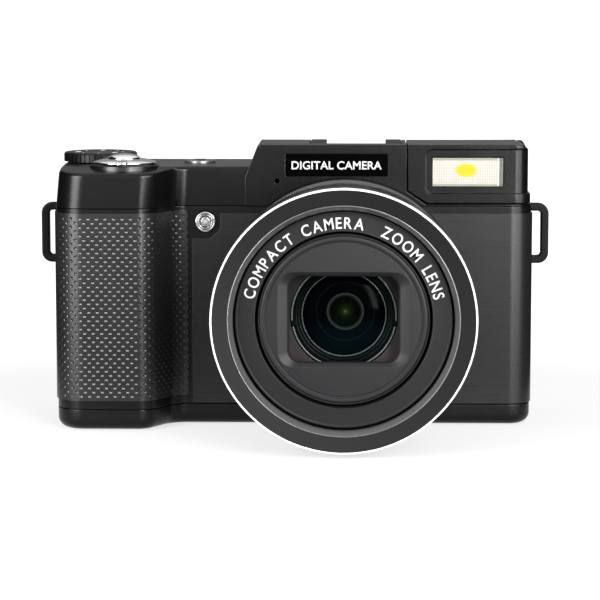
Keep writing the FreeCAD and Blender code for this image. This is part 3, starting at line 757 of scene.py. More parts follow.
def makeLens():
    low, high = span("lens_base")
    base = turned("lensBase", [(27, high.y), (29.2, high.y), (29.2, high.y - 1.6), (28.5, high.y - 2.2),
                               (28.5, -38.2), (29.2, -38.5), (29.6, -38.9), (29.6, -40.2), (28.5, -40.4),
                               (28.5, low.y), (27, low.y)], sides=160)
    soften(base, 0.08)
    settle(base, "body", "lens_black", ringBlack, "lens_base")

    low, high = span("control_ring")
    front, back = low.y, high.y
    knurled = turned("controlRing", [(28.85, back), (29.9, back), (30.3, back - 0.4), (30.3, back - 1.6),
                                     (30.3, front + 1.4), (30.3, front + 0.4), (29.9, front),
                                     (28.85, front)],
                     sides=2 * lens["knurls"])
    with editing(knurled):
        def onGrip(middle, f):
            turn = math.atan2(middle.x, middle.z - lensZ) / math.tau * lens["knurls"]
            return front + 1.5 < middle.y < back - 1.7 and f.normal.y ** 2 < 0.1 and math.hypot(
                middle.x, middle.z - lensZ) > 29.6 and (turn % 1) < 0.5
        pick(knurled, "FACE", onGrip)
        bpy.ops.mesh.inset(thickness=0.05 * mm, depth=0, use_individual=True)
        bpy.ops.mesh.extrude_faces_move(TRANSFORM_OT_shrink_fatten={"value": -lens["knurlDepth"] * mm})
    smooth(knurled, 30)
    settle(knurled, "control_ring", "lens_black", knurlMetal, "control_ring")

    low, high = span("front_ring")
    outer = (high.z - low.z) / 2
    band = turned("frontRing",
                  [(outer - 0.05, high.y), (outer - 0.05, low.y + 1.3), (outer - 0.8, low.y + 0.55),
                                (30.2, low.y + 0.2), (26.75, low.y + 0.62), (26.62, low.y + 1.6),
                   (25.5, low.y + 2.6),
                                (25.5, high.y)], sides=192)
    smooth(band, 25)
    settle(band, "body", "lens_black", bandBlack, "front_ring")
    trim = turned("chromeTrim", [(outer, low.y + 1.5), (outer, low.y + 0.42), (outer - 0.1, low.y + 0.1),
                                 (outer - 0.3, low.y), (30.32, low.y), (30.2, low.y + 0.12),
                                 (30.2, low.y + 0.9),
                                 (30.4, low.y + 1.5)], sides=192)
    smooth(trim, 60)
    # the chrome trim carries a painted reflection: light grey paint instead of chrome
    settle(trim, "body", "chrome", paintedReflectionTrim, "chrome_trim")
    rim = turned("bevelRim",
                 [(26.74, low.y + 0.7), (26.66, low.y + 0.5), (26.5, low.y + 0.46), (25.75, low.y + 1.5),
                              (25.45, low.y + 2.1), (25.45, low.y + 3.1), (26.4, low.y + 3.0)], sides=192)
    soften(rim, 0.06, 2)
    settle(rim, "body", "lens_black", rimMetal)

    low, high = span("outer_barrel")
    barrel = turned("outerBarrel",
                    [(25.2, high.y), (25.2, low.y + 0.45), (25.08, low.y + 0.12), (24.9, low.y),
                                    (24.6, low.y), (24.5, low.y + 0.06), (20.75, low.y + 0.06),
                     (20.62, low.y),
                                    (20.5, low.y + 0.05), (20.4, low.y + 0.3), (20.4, high.y)], sides=192)
    soften(barrel, 0.04, 2, 25)
    settle(barrel, "outer_barrel", "lens_black", barrelBlack, "outer_barrel")
    ringWords()

    low, high = span("inner_barrel")
    inner = turned("innerBarrel", [(19.9, high.y), (19.9, low.y + 0.25), (19.7, low.y), (19.45, low.y),
                                   (19.45, low.y + 3.2), (18.9, low.y + 3.4), (18.9, high.y)], sides=160)
    mask = turned("mask",
                  [(18.85, low.y + 6.2), (12.55, low.y + 6.2), (12.55, low.y + 6.6), (18.85, low.y + 6.6)],
                  sides=128)
    soften(inner, 0.05)
    settle(inner, "inner_barrel", "lens_black", barrelBlack, "inner_barrel")
    soften(mask, 0.05)
    mask.name = "lensMask"
    settle(mask, "inner_barrel", "lens_black", greyPlate)


def makeShield():
    low, high = span("lens_shield")
    edge = (high.z - low.z) / 2
    face = low.y
    cap = turned("lensShield", [(edge, high.y), (edge, face + 0.55), (edge - 0.12, face + 0.25),
                                (edge - 0.4, face + 0.12),
                                (18.35, face + 0.1), (18.2, face + 0.34), (18.0, face + 0.38),
                                (17.85, face + 0.16),
                                (15, face + 0.06), (8, face), (0.5, face)], sides=160, solid=True)
    with editing(cap):
        bpy.ops.mesh.select_all(action="SELECT")
        bpy.ops.mesh.normals_make_consistent(inside=False)
    wide, narrow = lens["windowWide"], lens["window"]
    funnel = outline("funnel", [(-narrow[0] / 2, lensZ - narrow[1] / 2, 2.8),
                                (narrow[0] / 2, lensZ - narrow[1] / 2, 2.8),
                                (narrow[0] / 2, lensZ + narrow[1] / 2, 2.8),
                                (-narrow[0] / 2, lensZ + narrow[1] / 2, 2.8)],
                     high.y + 1, "XZ", 10)
    with editing(funnel):
        bpy.ops.mesh.select_all(action="SELECT")
        at, size = high.y + 1, (1.0, 1.0)
        steps = [(high.y - 0.35, 0), (high.y - 0.9, 0.16), (high.y - 1.35, 0.5), (face + 0.02, 1.0),
                 (face - 0.4, 1.0)]
        for place, share in steps:
            grown = (1 + (wide[0] / narrow[0] - 1) * share, 1 + (wide[1] / narrow[1] - 1) * share)
            bpy.ops.mesh.extrude_region_move(TRANSFORM_OT_translate={"value": (0, (place - at) * mm, 0)})
            bpy.ops.transform.resize(value=(grown[0] / size[0], 1, grown[1] / size[1]),
                                     center_override=Vector((0, place, lensZ)) * mm)
            at, size = place, grown
        tidyMesh()
    cut(cap, funnel)
    soften(cap, 0.05, 2, 15)
    settle(cap, "inner_barrel", "body_plastic", shieldBlack, "lens_shield")


# colours for the front glass: painted reflection rings, a painted glint in the middle and a painted teal
# reflection of the floor
glassTones = {
    "spot": (0.022, 0.034, 0.012),
    "halo": (0.0045, 0.0085, 0.002),
    "pupil": (0.0013, 0.0026, 0.0008),
    "olive": (0.0045, 0.0052, 0.0038),
    "oliveEdge": (0.0085, 0.0092, 0.0072),
    "deep": (0.00025, 0.0003, 0.0005),
    "thinRing": (0.0014, 0.0018, 0.0022),
    "tealFloorReflection": (0.0001, 0.0009, 0.0010),
}


def coatedGlass():
    # the coated front glass, with painted reflections as rings about the lens axis, a painted glint at the
    # centre and a painted teal reflection of the floor that makes it greener towards the bottom
    finish = Finish("coatedGlass", glassTones["deep"], 0.03, Specular_IOR_Level=0.006)
    flat = finish.place((0.3, 0, lensZ + 0.8), (1, 0, 1))
    away = finish.node("VectorMath", {"operation": "LENGTH"}, out=1, s0=flat)
    share = away * 0.1
    rings = finish.node("ValToRGB", {"stops": [
        (0.0, glassTones["spot"]), (0.03, glassTones["halo"]), (0.09, glassTones["pupil"]),
                                               (0.2, shaded(glassTones["pupil"], 0.3)),
        (0.35, glassTones["deep"]), (0.395, glassTones["olive"]), (0.425, glassTones["oliveEdge"]),
                                               (0.44, glassTones["deep"]),
        (0.66, glassTones["deep"]), (0.685, glassTones["thinRing"]), (0.70, glassTones["deep"]),
                                               (1.0, glassTones["deep"])]}, s0=share)
    height = finish.node("SeparateXYZ", out=2, Vector=flat)
    lowSide = finish.fade(height, 0.5, -7.0)
    cloud = finish.noise(finish.place(lensCentre), 0.25, 2.0)
    sheen = finish.mix(lowSide * (cloud * 0.5 + 0.75), (0, 0, 0, 1), (*glassTones["tealFloorReflection"], 1))
    both = finish.node("Mix", {"data_type": "RGBA", "blend_type": "ADD"}, out=2, s0=1.0, s6=rings, s7=sheen)
    finish.set("Base Color", both)
    # painted light: the glass also glows faintly in these painted colours
    finish.set("Emission Color", both)
    finish.set("Emission Strength", 0.3)
    finish.set("Roughness", cloud * 0.03 + 0.02)
    return finish.material


def makeGlass():
    low, high = span("lens_retainer")
    front = low.y
    seat = turned("lensRetainer", [(12.4, high.y), (12.4, front + 0.12), (12.3, front), (11.95, front),
                                   (11.85, front + 0.2),
                                   (11.2, front + 1.1), (11.05, front + 1.1), (10.6, front + 2.2),
                                   (10.4, front + 2.2),
                                   (10.1, front + 3.0), (9.9, front + 3.1), (9.9, high.y)], sides=160)
    for side in (-1, 1):
        notch = block("notch", sorted((side * 11.2, side * 13)), (front - 1, front + 0.9),
                      (lensZ - 2.6, lensZ - 1.2), 0.4)
        cut(seat, notch)
    soften(seat, 0.04, 2, 30)
    settle(seat, "inner_barrel", "lens_black", deepGloss, "lens_retainer")
    rim = turned("retainerRim",
                 [(12.42, front + 0.14), (12.3, front - 0.06), (12.0, front - 0.06), (11.9, front + 0.12),
                                 (12.15, front + 0.3)], sides=160)
    for side in (-1, 1):
        notch = block("notch", sorted((side * 11.2, side * 13)), (front - 1, front + 0.9),
                      (lensZ - 2.6, lensZ - 1.2), 0.4)
        cut(rim, notch)
    soften(rim, 0.03, 2)
    settle(rim, "inner_barrel", "lens_black", faintRim)
    low, high = span("front_lens")
    edge = (high.z - low.z) / 2
    halo = turned("glassRim",
                  [(edge + 0.08, low.y + 2.0), (edge + 0.08, low.y + 1.0), (edge - 0.12, low.y + 0.9),
                               (edge - 0.2, low.y + 1.0), (edge - 0.2, low.y + 2.0)], sides=160)
    soften(halo, 0.02, 2)
    settle(halo, "inner_barrel", "lens_black", faintRim)
    steps = [(edge - 0.05, high.y), (edge - 0.05, low.y + 1.55)]
    for i in range(1, 13):
        swing = math.pi / 2 * i / 13
        steps.append(((edge - 0.05) * math.cos(swing), low.y + 1.55 - 1.5 * math.sin(swing)))
    steps.append((0.35, low.y + 0.04))
    glass = turned("frontLens", steps, sides=128, solid=True)
    smooth(glass, 40)
    settle(glass, "inner_barrel", "lens_glass", coatedGlass(), "front_lens")


bandBlack = turnedMetal("bandBlack", (0.0032, 0.0032, 0.0034), 0.38, 0.0, lensCentre, specular=0.14)
knurlMetal = turnedMetal("knurlMetal", (0.02, 0.02, 0.021), 0.24, 0.35, lensCentre, specular=0.5)
deepGloss = moulded("deepGloss", (0.0009, 0.0014, 0.0014), 0.3, grain=3.0, depth=0.004, specular=0.05)
faintRim = turnedMetal("faintRim", (0.05, 0.058, 0.055), 0.3, 0.3, lensCentre)
makeLens()
makeShield()
makeGlass()
print("lens ready")


# grip skin and front trim
grip = {
    "low": 7.3,
    "high": 53.1,
    "end": -38.5,
    "proud": 0.35,
    "thick": 0.6,
    "border": 0.2,
    "lean": 0.13,
    "cell": 2.04,
    "dimple": ((0.1, 0.18),),
}


def makeGripSkin():
    path = outline("gripPath", plan(), 0, segments=12)
    with editing(path):
        bpy.ops.mesh.select_all(action="SELECT")
        bpy.ops.mesh.delete(type="ONLY_FACE")
        for spot, normal in (((0, body["split"] - 0.1, 0), (0, 1, 0)), ((grip["end"], 0, 0), (1, 0, 0))):
            bpy.ops.mesh.select_all(action="SELECT")
            bpy.ops.mesh.bisect(plane_co=Vector(spot) * mm, plane_no=normal, clear_outer=True)
    length = sum((path.data.vertices[e.vertices[0]].co - path.data.vertices[e.vertices[1]].co).length
                 for e in path.data.edges) / mm
    only(path)
    bpy.ops.object.convert(target="CURVE")
    first = path.data.splines[0].points[0].co
    if first.y < 0:
        with editing(path):
            bpy.ops.curve.select_all(action="SELECT")
            bpy.ops.curve.switch_direction()

    columns = round((length - 2 * grip["border"]) / grip["cell"])
    rows = round((grip["high"] - grip["low"] - 2 * grip["border"]) / grip["cell"])
    wide = (length - 2 * grip["border"]) / columns
    tall = (grip["high"] - grip["low"] - 2 * grip["border"]) / rows
    deselect()
    bpy.ops.mesh.primitive_grid_add(x_subdivisions=6, y_subdivisions=6, size=mm,
                                    rotation=(math.pi / 2, 0, 0))
    skin = named("gripSkin")
    bpy.ops.object.transform_apply(location=True, rotation=True, scale=True)
    with editing(skin):
        bpy.ops.mesh.select_all(action="SELECT")
        bpy.ops.transform.resize(value=(wide, 1, tall))
        # one dimple in the middle of the cell and a quarter of one at each corner
        for reach, depth in grip["dimple"]:
            def inDimple(middle, v):
                across, up = abs(middle.x), abs(middle.z)
                return min(math.hypot(across, up), math.hypot(wide / 2 - across, tall / 2 - up)) < reach
            pick(skin, "VERT", inDimple)
            bpy.ops.transform.translate(value=(-grip["lean"] * mm, depth * mm, 0))
        bpy.ops.mesh.select_all(action="SELECT")
        bpy.ops.transform.translate(value=Vector((wide / 2 + grip["border"], -grip["proud"],
                                                  tall / 2 + grip["low"] + grip["border"])) * mm)
    only(skin)
    for count, step in ((columns, (wide * mm, 0, 0)), (rows, (0, 0, tall * mm))):
        copies = skin.modifiers.new("copies", "ARRAY")
        copies.count = count
        copies.use_relative_offset = False
        copies.use_constant_offset = True
        copies.constant_offset_displace = step
        copies.use_merge_vertices = True
        copies.merge_threshold = 0.02 * mm
        bpy.ops.object.modifier_apply(modifier=copies.name)
    with editing(skin):
        edge = grip["border"]
        right, top = length - edge, grip["high"] - edge
        pick(skin, "VERT", lambda middle, v: v.is_boundary)
        bpy.ops.transform.resize(value=(1, 0, 1), center_override=(0, -grip["proud"] * mm, 0))
        for test, move in (
            (lambda middle, e: middle.x < edge + 0.01 and e.is_boundary, (-edge, 0, 0)),
            (lambda middle, e: middle.x > right - 0.01 and e.is_boundary, (edge, 0, 0)),
            (lambda middle, e: middle.z < grip["low"] + edge + 0.01 and e.is_boundary
             and abs(e.verts[0].co.z - e.verts[1].co.z) < 1e-6, (0, 0, -edge)),
            (lambda middle, e: middle.z > top - 0.01 and e.is_boundary
             and abs(e.verts[0].co.z - e.verts[1].co.z) < 1e-6, (0, 0, edge)),
        ):
            pick(skin, "EDGE", test)
            bpy.ops.mesh.extrude_region_move(TRANSFORM_OT_translate={"value": Vector(move) * mm})
        pick(skin, "VERT", lambda middle, v: middle.x > length - 0.01
             and (middle.z < grip["low"] + 0.01 or middle.z > grip["high"] - 0.01))
        bpy.ops.mesh.bevel(offset=edge * 0.95 * mm, segments=5, affect="VERTICES")
        bpy.ops.mesh.select_all(action="SELECT")
        bpy.ops.mesh.normals_make_consistent(inside=False)
    only(skin)
    wrap = skin.modifiers.new("wrap", "CURVE")
    wrap.object = path
    bpy.ops.object.modifier_apply(modifier=wrap.name)
    bpy.data.objects.remove(path)
    with editing(skin):
        bpy.ops.mesh.select_all(action="SELECT")
        if sum(f.normal.y for f in skin.data.polygons) > 0:
            bpy.ops.mesh.flip_normals()
    only(skin)
    step = skin.modifiers.new("wall", "SOLIDIFY")
    step.thickness = grip["thick"] * mm
    step.offset = -1
    bpy.ops.object.modifier_apply(modifier=step.name)
    bpy.ops.object.shade_smooth_by_angle(angle=math.radians(12))
    settle(skin, "body", "grip_rubber", gripRubber, "grip_skin")


def makeTrim():
    panel = {"low": 5.4, "high": 52.4, "left": -37.5, "back": -10.0, "proud": 0.3}
    for name, node, sideOf in (("trimPanelLeft", "trim_panel_left", 1),
                               ("trimPanelRight", "trim_panel_right", -1)):
        piece = planBand(name, panel["low"], panel["high"], panel["proud"],
                         [((panel["left"], 0, 0), (-1, 0, 0)), ((0, panel["back"], 0), (0, 1, 0)),
                          ((0, 0, 0), (sideOf, 0, 0))])
        cut(piece, turned("circle", [(29.6, -30), (29.6, 0)], solid=True, sides=128))
        if sideOf > 0:
            notch = [(-45, 46.2), (-33, 46.2, 1.2), (-30.6, 48.3, 1.4), (-30.3, 60), (-45, 60)]
            cut(piece, slab("notch", notch, -30, 0, "XZ"))
        soften(piece, 0.07, 2)
        settle(piece, "body", "brushed_trim", darkTrim, node)


plate = {"words": "DIGITAL CAMERA", "size": 2.78, "weight": 0.016}


def makeNamePlate():
    low, high = span("name_plate")
    piece = block("namePlate", (low.x, high.x), (hump["front"] + 0.32, high.y), (low.z, high.z), 0.2)
    soften(piece, 0.08)
    settle(piece, "body", "gloss_black", plateBlack, "name_plate")
    words = letterMesh("plateWords", plate["words"], plate["size"], plate["weight"], 0.06)
    across = [v.co.x / mm for v in words.data.vertices]
    up = [v.co.y / mm for v in words.data.vertices]
    words.rotation_euler = (math.pi / 2, 0, 0)
    words.location = Vector(((low.x + high.x - min(across) - max(across)) / 2, hump["front"] + 0.31,
                             (low.z + high.z - min(up) - max(up)) / 2)) * mm
    only(words)
    bpy.ops.object.transform_apply(location=True, rotation=True, scale=True)
    settle(words, "body", "white_print", whitePrint)


flash = {
    "cornerRound": 4.0,
    "topRound": 2.6,
    "recessLeft": 19.75,
    "recess": (57.25, 68.05),
    "recessDeep": 0.6,
}


def makeFlash():
    low, high = span("flash_housing")
    front, right = low.y, high.x
    knuckleY, knuckleZ, knuckle = 5.2, 66.8, 2.4
    back = high.y
    shape = [(low.x, front), (right, front, flash["cornerRound"]), (right, back), (low.x, back)]
    housing = slab("flashHousing", shape, low.z, high.z, "XY", 12)
    side = [(low.x, high.z), (low.x, hump["seamLow"] + 0.1), (hump["foot"] + 0.4, low.z), (right, low.z),
            (right - 0.4, high.z, flash["topRound"])]
    cut(housing, slab("keep", side, front - 2, back + 2, "XZ", 10), "INTERSECT")
    hollow = slab("hollow", [(low.x + 1.4, front + 5.2), (right - 1.6, front + 5.2, 1), (right - 1.6, 2.0),
                             (low.x + 1.4, 2.0)],
                  low.z - 1, knuckleZ + 0.6, "XY")
    cut(housing, hollow)
    windowLow, windowHigh = span("flash_reflector")
    windowLow.y, windowHigh.y = span("flash_window")[0].y, span("flash_window")[1].y
    windowLow.x, windowLow.z, windowHigh.x = windowLow.x - 0.2, windowLow.z + 0.4, windowHigh.x - 0.75
    cut(housing, block("window", (windowLow.x - 0.1, windowHigh.x + 0.1), (front - 1, front + 7),
                       (windowLow.z - 0.1, windowHigh.z + 0.1), 0.3))
    ring = [(flash["recessLeft"], flash["recess"][0], 1.5), (right + 3, flash["recess"][0]),
            (right + 3, flash["recess"][1]),
            (flash["recessLeft"], flash["recess"][1], 1.7)]
    shell = slab("shell", ring, front - 3, back - 4.5, "XZ")
    d = flash["recessDeep"]
    core = slab("core", [(low.x - 1, front + d), (right - d, front + d, flash["cornerRound"] - d),
                         (right - d, back + 2), (low.x - 1, back + 2)],
                low.z - 1, high.z + 1, "XY", 12)
    cut(shell, core)
    cut(housing, shell)
    # hinge knuckle at the back, let into the cover
    knuckleFront, under = knuckleY - knuckle, knuckleZ - knuckle
    gap = [(knuckleFront - 1.6, low.z - 1), (back + 2, low.z - 1), (back + 2, under),
           (knuckleFront, under, knuckle - 0.1),
           (knuckleFront, knuckleZ), (knuckleFront - 1.6, knuckleZ)]
    cut(housing, slab("gap", gap, low.x - 1, right + 1, "YZ", 8))
    cut(housing, block("trim", (42.85, right + 1), (knuckleFront - 0.3, back + 2), (low.z - 1, high.z + 1)))
    bevelEdges(housing, knuckle - 0.1, 8, lambda middle,
               e: middle.y > back - 0.01 and (middle.z > high.z - 0.01 or middle.z < under + 0.01))
    soften(housing, 0.2, 3, 38)
    settle(housing, "flash", "body_plastic", blackPlastic, "flash_housing")

    pane = block("flashWindow", (windowLow.x, windowHigh.x), (windowLow.y, windowHigh.y),
                 (windowLow.z, windowHigh.z))
    with editing(pane):
        pick(pane, "FACE", lambda middle, f: f.normal.y < -0.9)
        bpy.ops.mesh.inset(thickness=0.5 * mm, depth=0)
        bpy.ops.mesh.inset(thickness=0.1 * mm, depth=-0.1 * mm)
    soften(pane, 0.04, 2)
    settle(pane, "flash", "flash_glass", flashFinish((windowLow + windowHigh) / 2, windowHigh - windowLow),
           "flash_window")
    strip = block("flashStrip", (windowHigh.x - 1.35, windowHigh.x - 0.95),
                  (windowLow.y - 0.06, windowLow.y + 0.3),
                  (windowLow.z + 0.15, windowHigh.z - 0.15), 0.1)
    soften(strip, 0.04)
    settle(strip, "flash", "flash_glass", whitePrint)


def flashFinish(centre, size):
    # milky ribbed pane with the yellow of the tube behind its middle, made to glow faintly as painted light
    finish = Finish("flashGlass", (0.14, 0.135, 0.12), 0.28, Specular_IOR_Level=0.15)
    where = finish.place((centre.x, 0, centre.z), (1, 0, 1))
    across = finish.node("SeparateXYZ", out=0, Vector=where)
    up = finish.node("SeparateXYZ", out=2, Vector=where)
    spot = finish.node("VectorMath", {"operation": "LENGTH"}, out=1,
                       s0=finish.place((centre.x - 0.45, 0, centre.z + 0.45), (0.40, 0, 0.62)))
    glow = finish.fade(spot, 1.28, 0.78)
    ribs = finish.node("TexWave", {"bands_direction": "X"}, Vector=finish.place(), Scale=0.75,
                       Distortion=0.4, Detail=2.0)
    rows = finish.node("TexWave", {"bands_direction": "Z"}, Vector=finish.place(), Scale=0.45,
                       Distortion=0.8, Detail=2.0)
    cloud = finish.noise(finish.place(), 0.35, 3.0)
    cream = finish.tones(ribs * 0.45 + rows * 0.2 + cloud * 0.35, (0.13, 0.127, 0.108), (0.24, 0.236, 0.21))
    edge = finish.node("Math", {"operation": "GREATER_THAN"},
                       s0=finish.node("Math", {"operation": "ABSOLUTE"}, s0=up), s1=size.z / 2 - 0.55)
    rim = finish.mix(edge * 0.55, cream, (0.05, 0.048, 0.04, 1))
    tail = across > size.x / 2 - 0.95
    side = finish.mix(tail * 0.8, rim, (0.03, 0.03, 0.029, 1))
    mix = finish.mix(glow, side, (0.20, 0.175, 0.003, 1))
    finish.set("Base Color", mix)
    # painted light: the pane glows, though the flash is not firing
    finish.set("Emission Color", mix)
    finish.set("Emission Strength", 0.25)
    finish.bump(ribs * 0.7 + rows * 0.3, 0.05, 0.4)
    return finish.material


makeGripSkin()
makeTrim()
makeNamePlate()
makeFlash()
print("grip, trim and flash ready")


# small parts on the front, the sides and the top
def makeLamp():
    low, high = span("lamp_bezel")
    at = ((low.x + high.x) / 2, (low.z + high.z) / 2)
    edge = (high.z - low.z) / 2
    front = low.y
    bezel = turned("lampBezel",
                   [(edge, high.y), (edge, front + 0.3), (edge - 0.1, front + 0.1), (edge - 0.25, front),
                                 (edge - 0.5, front), (edge - 0.62, front + 0.3),
                    (edge - 0.78, front + 0.5),
                                 (edge - 0.88, front + 0.28), (edge - 1.05, front + 0.28),
                    (1.45, front + 0.75),
                                 (1.45, high.y)], at, sides=96)
    soften(bezel, 0.04, 2, 25)
    settle(bezel, "body", "chrome", lampMetal, "lamp_bezel")
    low, high = span("lamp_lens")
    dome = [(1.4, high.y), (1.4, low.y + 0.45)]
    for i in range(1, 8):
        swing = math.pi / 2 * i / 8
        dome.append((1.4 * math.cos(swing), low.y + 0.45 - 0.4 * math.sin(swing)))
    dome.append((0.08, low.y + 0.04))
    glass = turned("lampLens", dome, at, sides=64, solid=True)
    smooth(glass, 40)
    settle(glass, "body", "clear_plastic", lampGlass(at), "lamp_lens")


def lampGlass(at):
    finish = Finish("lampGlass", (0.7, 0.7, 0.7), 0.12, Specular_IOR_Level=0.6)
    away = finish.node("VectorMath", {"operation": "LENGTH"}, out=1,
                       s0=finish.place((at[0], 0, at[1]), (1, 0, 1)))
    rough = finish.noise(finish.place(), 2.2, 3.0)
    rings = finish.node("ValToRGB", {"stops": [
        (0.0, (0.20, 0.20, 0.195)), (0.3, (0.15, 0.15, 0.145)), (0.48, (0.06, 0.06, 0.06)),
                                               (0.6, (0.12, 0.12, 0.12)),
        (0.8, (0.03, 0.03, 0.03)), (0.95, (0.01, 0.01, 0.01))]}, s0=away * 0.62 + rough * 0.3 - 0.15)
    finish.set("Base Color", rings)
    finish.set("Roughness", rough * 0.2 + 0.05)
    finish.bump(rough, 0.1, 0.5)
    return finish.material


def makeLugs():
    for name, node, side in (("strapLugLeft", "strap_lug_left", -1),
                             ("strapLugRight", "strap_lug_right", 1)):
        low, high = span(node)
        outer = high.x if side > 0 else low.x
        inner = body["right"] - 0.4 if side > 0 else body["left"] + 0.4
        bar, roundness = 2.0, 2.6
        a, b = sorted((outer, inner))
        radii = {outer: roundness, inner: 0}
        shape = [(a, low.z, radii[a]), (b, low.z, radii[b]), (b, high.z, radii[b]), (a, high.z, radii[a])]
        lug = slab(name, shape, low.y, high.y, "XZ", 8)
        holeOuter = outer - side * bar
        holeInner = inner - side
        a, b = sorted((holeOuter, holeInner))
        radii = {holeOuter: 0.8, holeInner: 0}
        bars = 1.95
        hole = [(a, low.z + bars, radii[a]), (b, low.z + bars, radii[b]), (b, high.z - bars, radii[b]),
                (a, high.z - bars, radii[a])]
        cut(lug, slab("hole", hole, low.y - 1, high.y + 1, "XZ", 6))
        soften(lug, 0.42, 4, 40)
        settle(lug, "body", "black_metal", blackMetal, node)


def makeDial():
    low, high = span("mode_dial")
    at = ((low.x + high.x) / 2, (low.y + high.y) / 2)
    ribs, edge = 44, (high.x - low.x) / 2
    bodyLow = body["deck"] + 0.18
    dial = turned("modeDial",
                  [(2.4, low.z + 0.3), (2.4, bodyLow), (edge - 0.5, bodyLow), (edge - 0.02, bodyLow + 0.12),
                               (edge - 0.02, high.z - 0.42), (edge - 0.4, high.z - 0.06),
                   (edge - 1.2, high.z),
                               (edge - 1.7, high.z - 0.12), (0.6, high.z - 0.12)], at, "Z", ribs * 4, True)
    with editing(dial):
        def onRib(middle, f):
            turn = math.atan2(middle.x - at[0], middle.y - at[1]) / math.tau * ribs
            return abs(f.normal.z) < 0.3 and math.hypot(middle.x - at[0],
                                                        middle.y - at[1]) > edge - 0.3 and (turn % 1) < 0.5
        pick(dial, "FACE", onRib)
        bpy.ops.mesh.extrude_region_shrink_fatten(TRANSFORM_OT_shrink_fatten={"value": -0.32 * mm})
    smooth(dial, 28)
    settle(dial, "mode_dial", "body_plastic", dialPlastic, "mode_dial")
    # plain marks round the top of the dial: a dot, bars and small rings
    marks = []
    for i in range(8):
        angle = math.tau * i / 8
        spot = Vector((at[0] + math.sin(angle) * (edge - 3.6), at[1] + math.cos(angle) * (edge - 3.6),
                       high.z - 0.13))
        deselect()
        if i % 3 == 0:
            bpy.ops.mesh.primitive_torus_add(major_radius=0.62 * mm, minor_radius=0.11 * mm,
                                             major_segments=32,
                                             minor_segments=8, location=spot * mm)
            mark = named(f"dialMark{i}")
            bpy.ops.object.transform_apply(location=True, rotation=True, scale=True)
        else:
            mark = block(f"dialMark{i}", (spot.x - 0.16, spot.x + 0.16),
                         (spot.y - (0.5 + 0.25 * (i % 2)), spot.y + 0.6),
                         (spot.z - 0.06, spot.z + 0.06), 0.12, "XY")
        marks.append(mark)
    join(marks[0], *marks[1:])
    marks[0].name = "dialMarks"
    settle(marks[0], "mode_dial", "white_print", whitePrint)
    pointer = turned("dialPointer",
                     [(0.38, body["deck"] - 0.3), (0.38, body["deck"] + 0.04), (0.3, body["deck"] + 0.1)],
                     (at[0] + edge + 1.3, at[1] - 2.5), "Z", 24, True)
    settle(pointer, "body", "white_print", whitePrint)


def makeShutter():
    low, high = span("shutter_collar")
    at = ((low.x + high.x) / 2, (low.y + high.y) / 2)
    edge = (high.x - low.x) / 2
    top = high.z
    dish = turned("shutterCollar",
                  [(2.6, low.z), (edge, low.z), (edge, top - 0.12), (edge - 0.1, top), (edge - 0.3, top),
                                    (edge - 0.55, top - 0.35), (edge - 1.3, top - 0.9), (5.4, top - 1.25),
                   (2.6, top - 1.3)],
                  at, "Z", 128)
    soften(dish, 0.05, 2, 25)
    settle(dish, "body", "gloss_black", glossBlack, "shutter_collar")
    low, high = span("zoom_lever")
    ringHigh, ringLow = high.z, low.z
    lever = turned("zoomLever", [(4.45, ringLow + 0.2), (7.3, ringLow + 0.1), (7.72, ringLow + 0.28),
                                 (7.78, ringLow + 0.42),
                                 (7.6, ringLow + 0.6), (6.4, ringLow + 0.95), (5.2, ringHigh - 0.06),
                                 (4.75, ringHigh),
                                 (4.45, ringHigh - 0.1)], at, "Z", 144)
    tabFront = [(at[0] - 1.6, -20.6, 0.5), (at[0] + 1.6, -20.6, 0.5), (at[0] + 1.15, low.y + 0.05, 0.6),
                (at[0] - 1.15, low.y + 0.05, 0.6)]
    tab = slab("tab", tabFront, ringLow + 0.12, ringLow + 0.85, "XY", 5)
    cut(lever, tab, "UNION")
    soften(lever, 0.08, 3, 30)
    settle(lever, "zoom_lever", "chrome", chrome, "zoom_lever")
    low, high = span("shutter_button")
    dome = [(1.2, low.z), (1.2, 65.0), (4.0, 65.0), (4.05, 65.35), (3.95, 65.7)]
    for i in range(1, 9):
        swing = math.pi / 2 * i / 9
        dome.append((3.95 * math.cos(swing), 65.7 + (high.z - 65.75) * math.sin(swing)))
    dome.append((0.12, high.z - 0.04))
    button = turned("shutterButton", dome, at, "Z", 96, True)
    smooth(button, 35)
    settle(button, "shutter_button", "chrome", chrome, "shutter_button")
    low, high = span("power_button")
    at = ((low.x + high.x) / 2, (low.y + high.y) / 2)
    edge = (high.x - low.x) / 2
    power = turned("powerButton", [(1.0, low.z), (1.0, 62.0), (edge, 62.0), (edge, high.z - 0.3),
                                   (edge - 0.12, high.z - 0.08),
                                   (edge - 0.35, high.z), (2.2, high.z - 0.05), (1.4, high.z - 0.16),
                                   (0.4, high.z - 0.2)],
                   at, "Z", 64, True)
    soften(power, 0.05, 2)
    settle(power, "power_button", "chrome", rimMetal, "power_button")
    symbol = turned("powerMark", [(1.05, high.z - 0.2), (1.3, high.z - 0.2), (1.3, high.z - 0.02),
                                  (1.05, high.z - 0.02)], at, "Z", 48)
    cut(symbol, block("gap", (at[0] - 0.35, at[0] + 0.35), (at[1], at[1] + 3), (high.z - 1, high.z + 1)))
    bar = block("bar", (at[0] - 0.13, at[0] + 0.13), (at[1] + 0.35, at[1] + 1.45),
                (high.z - 0.2, high.z - 0.02))
    join(symbol, bar)
    symbol.name = "powerMark"
    settle(symbol, "power_button", "white_print", deepBlack)


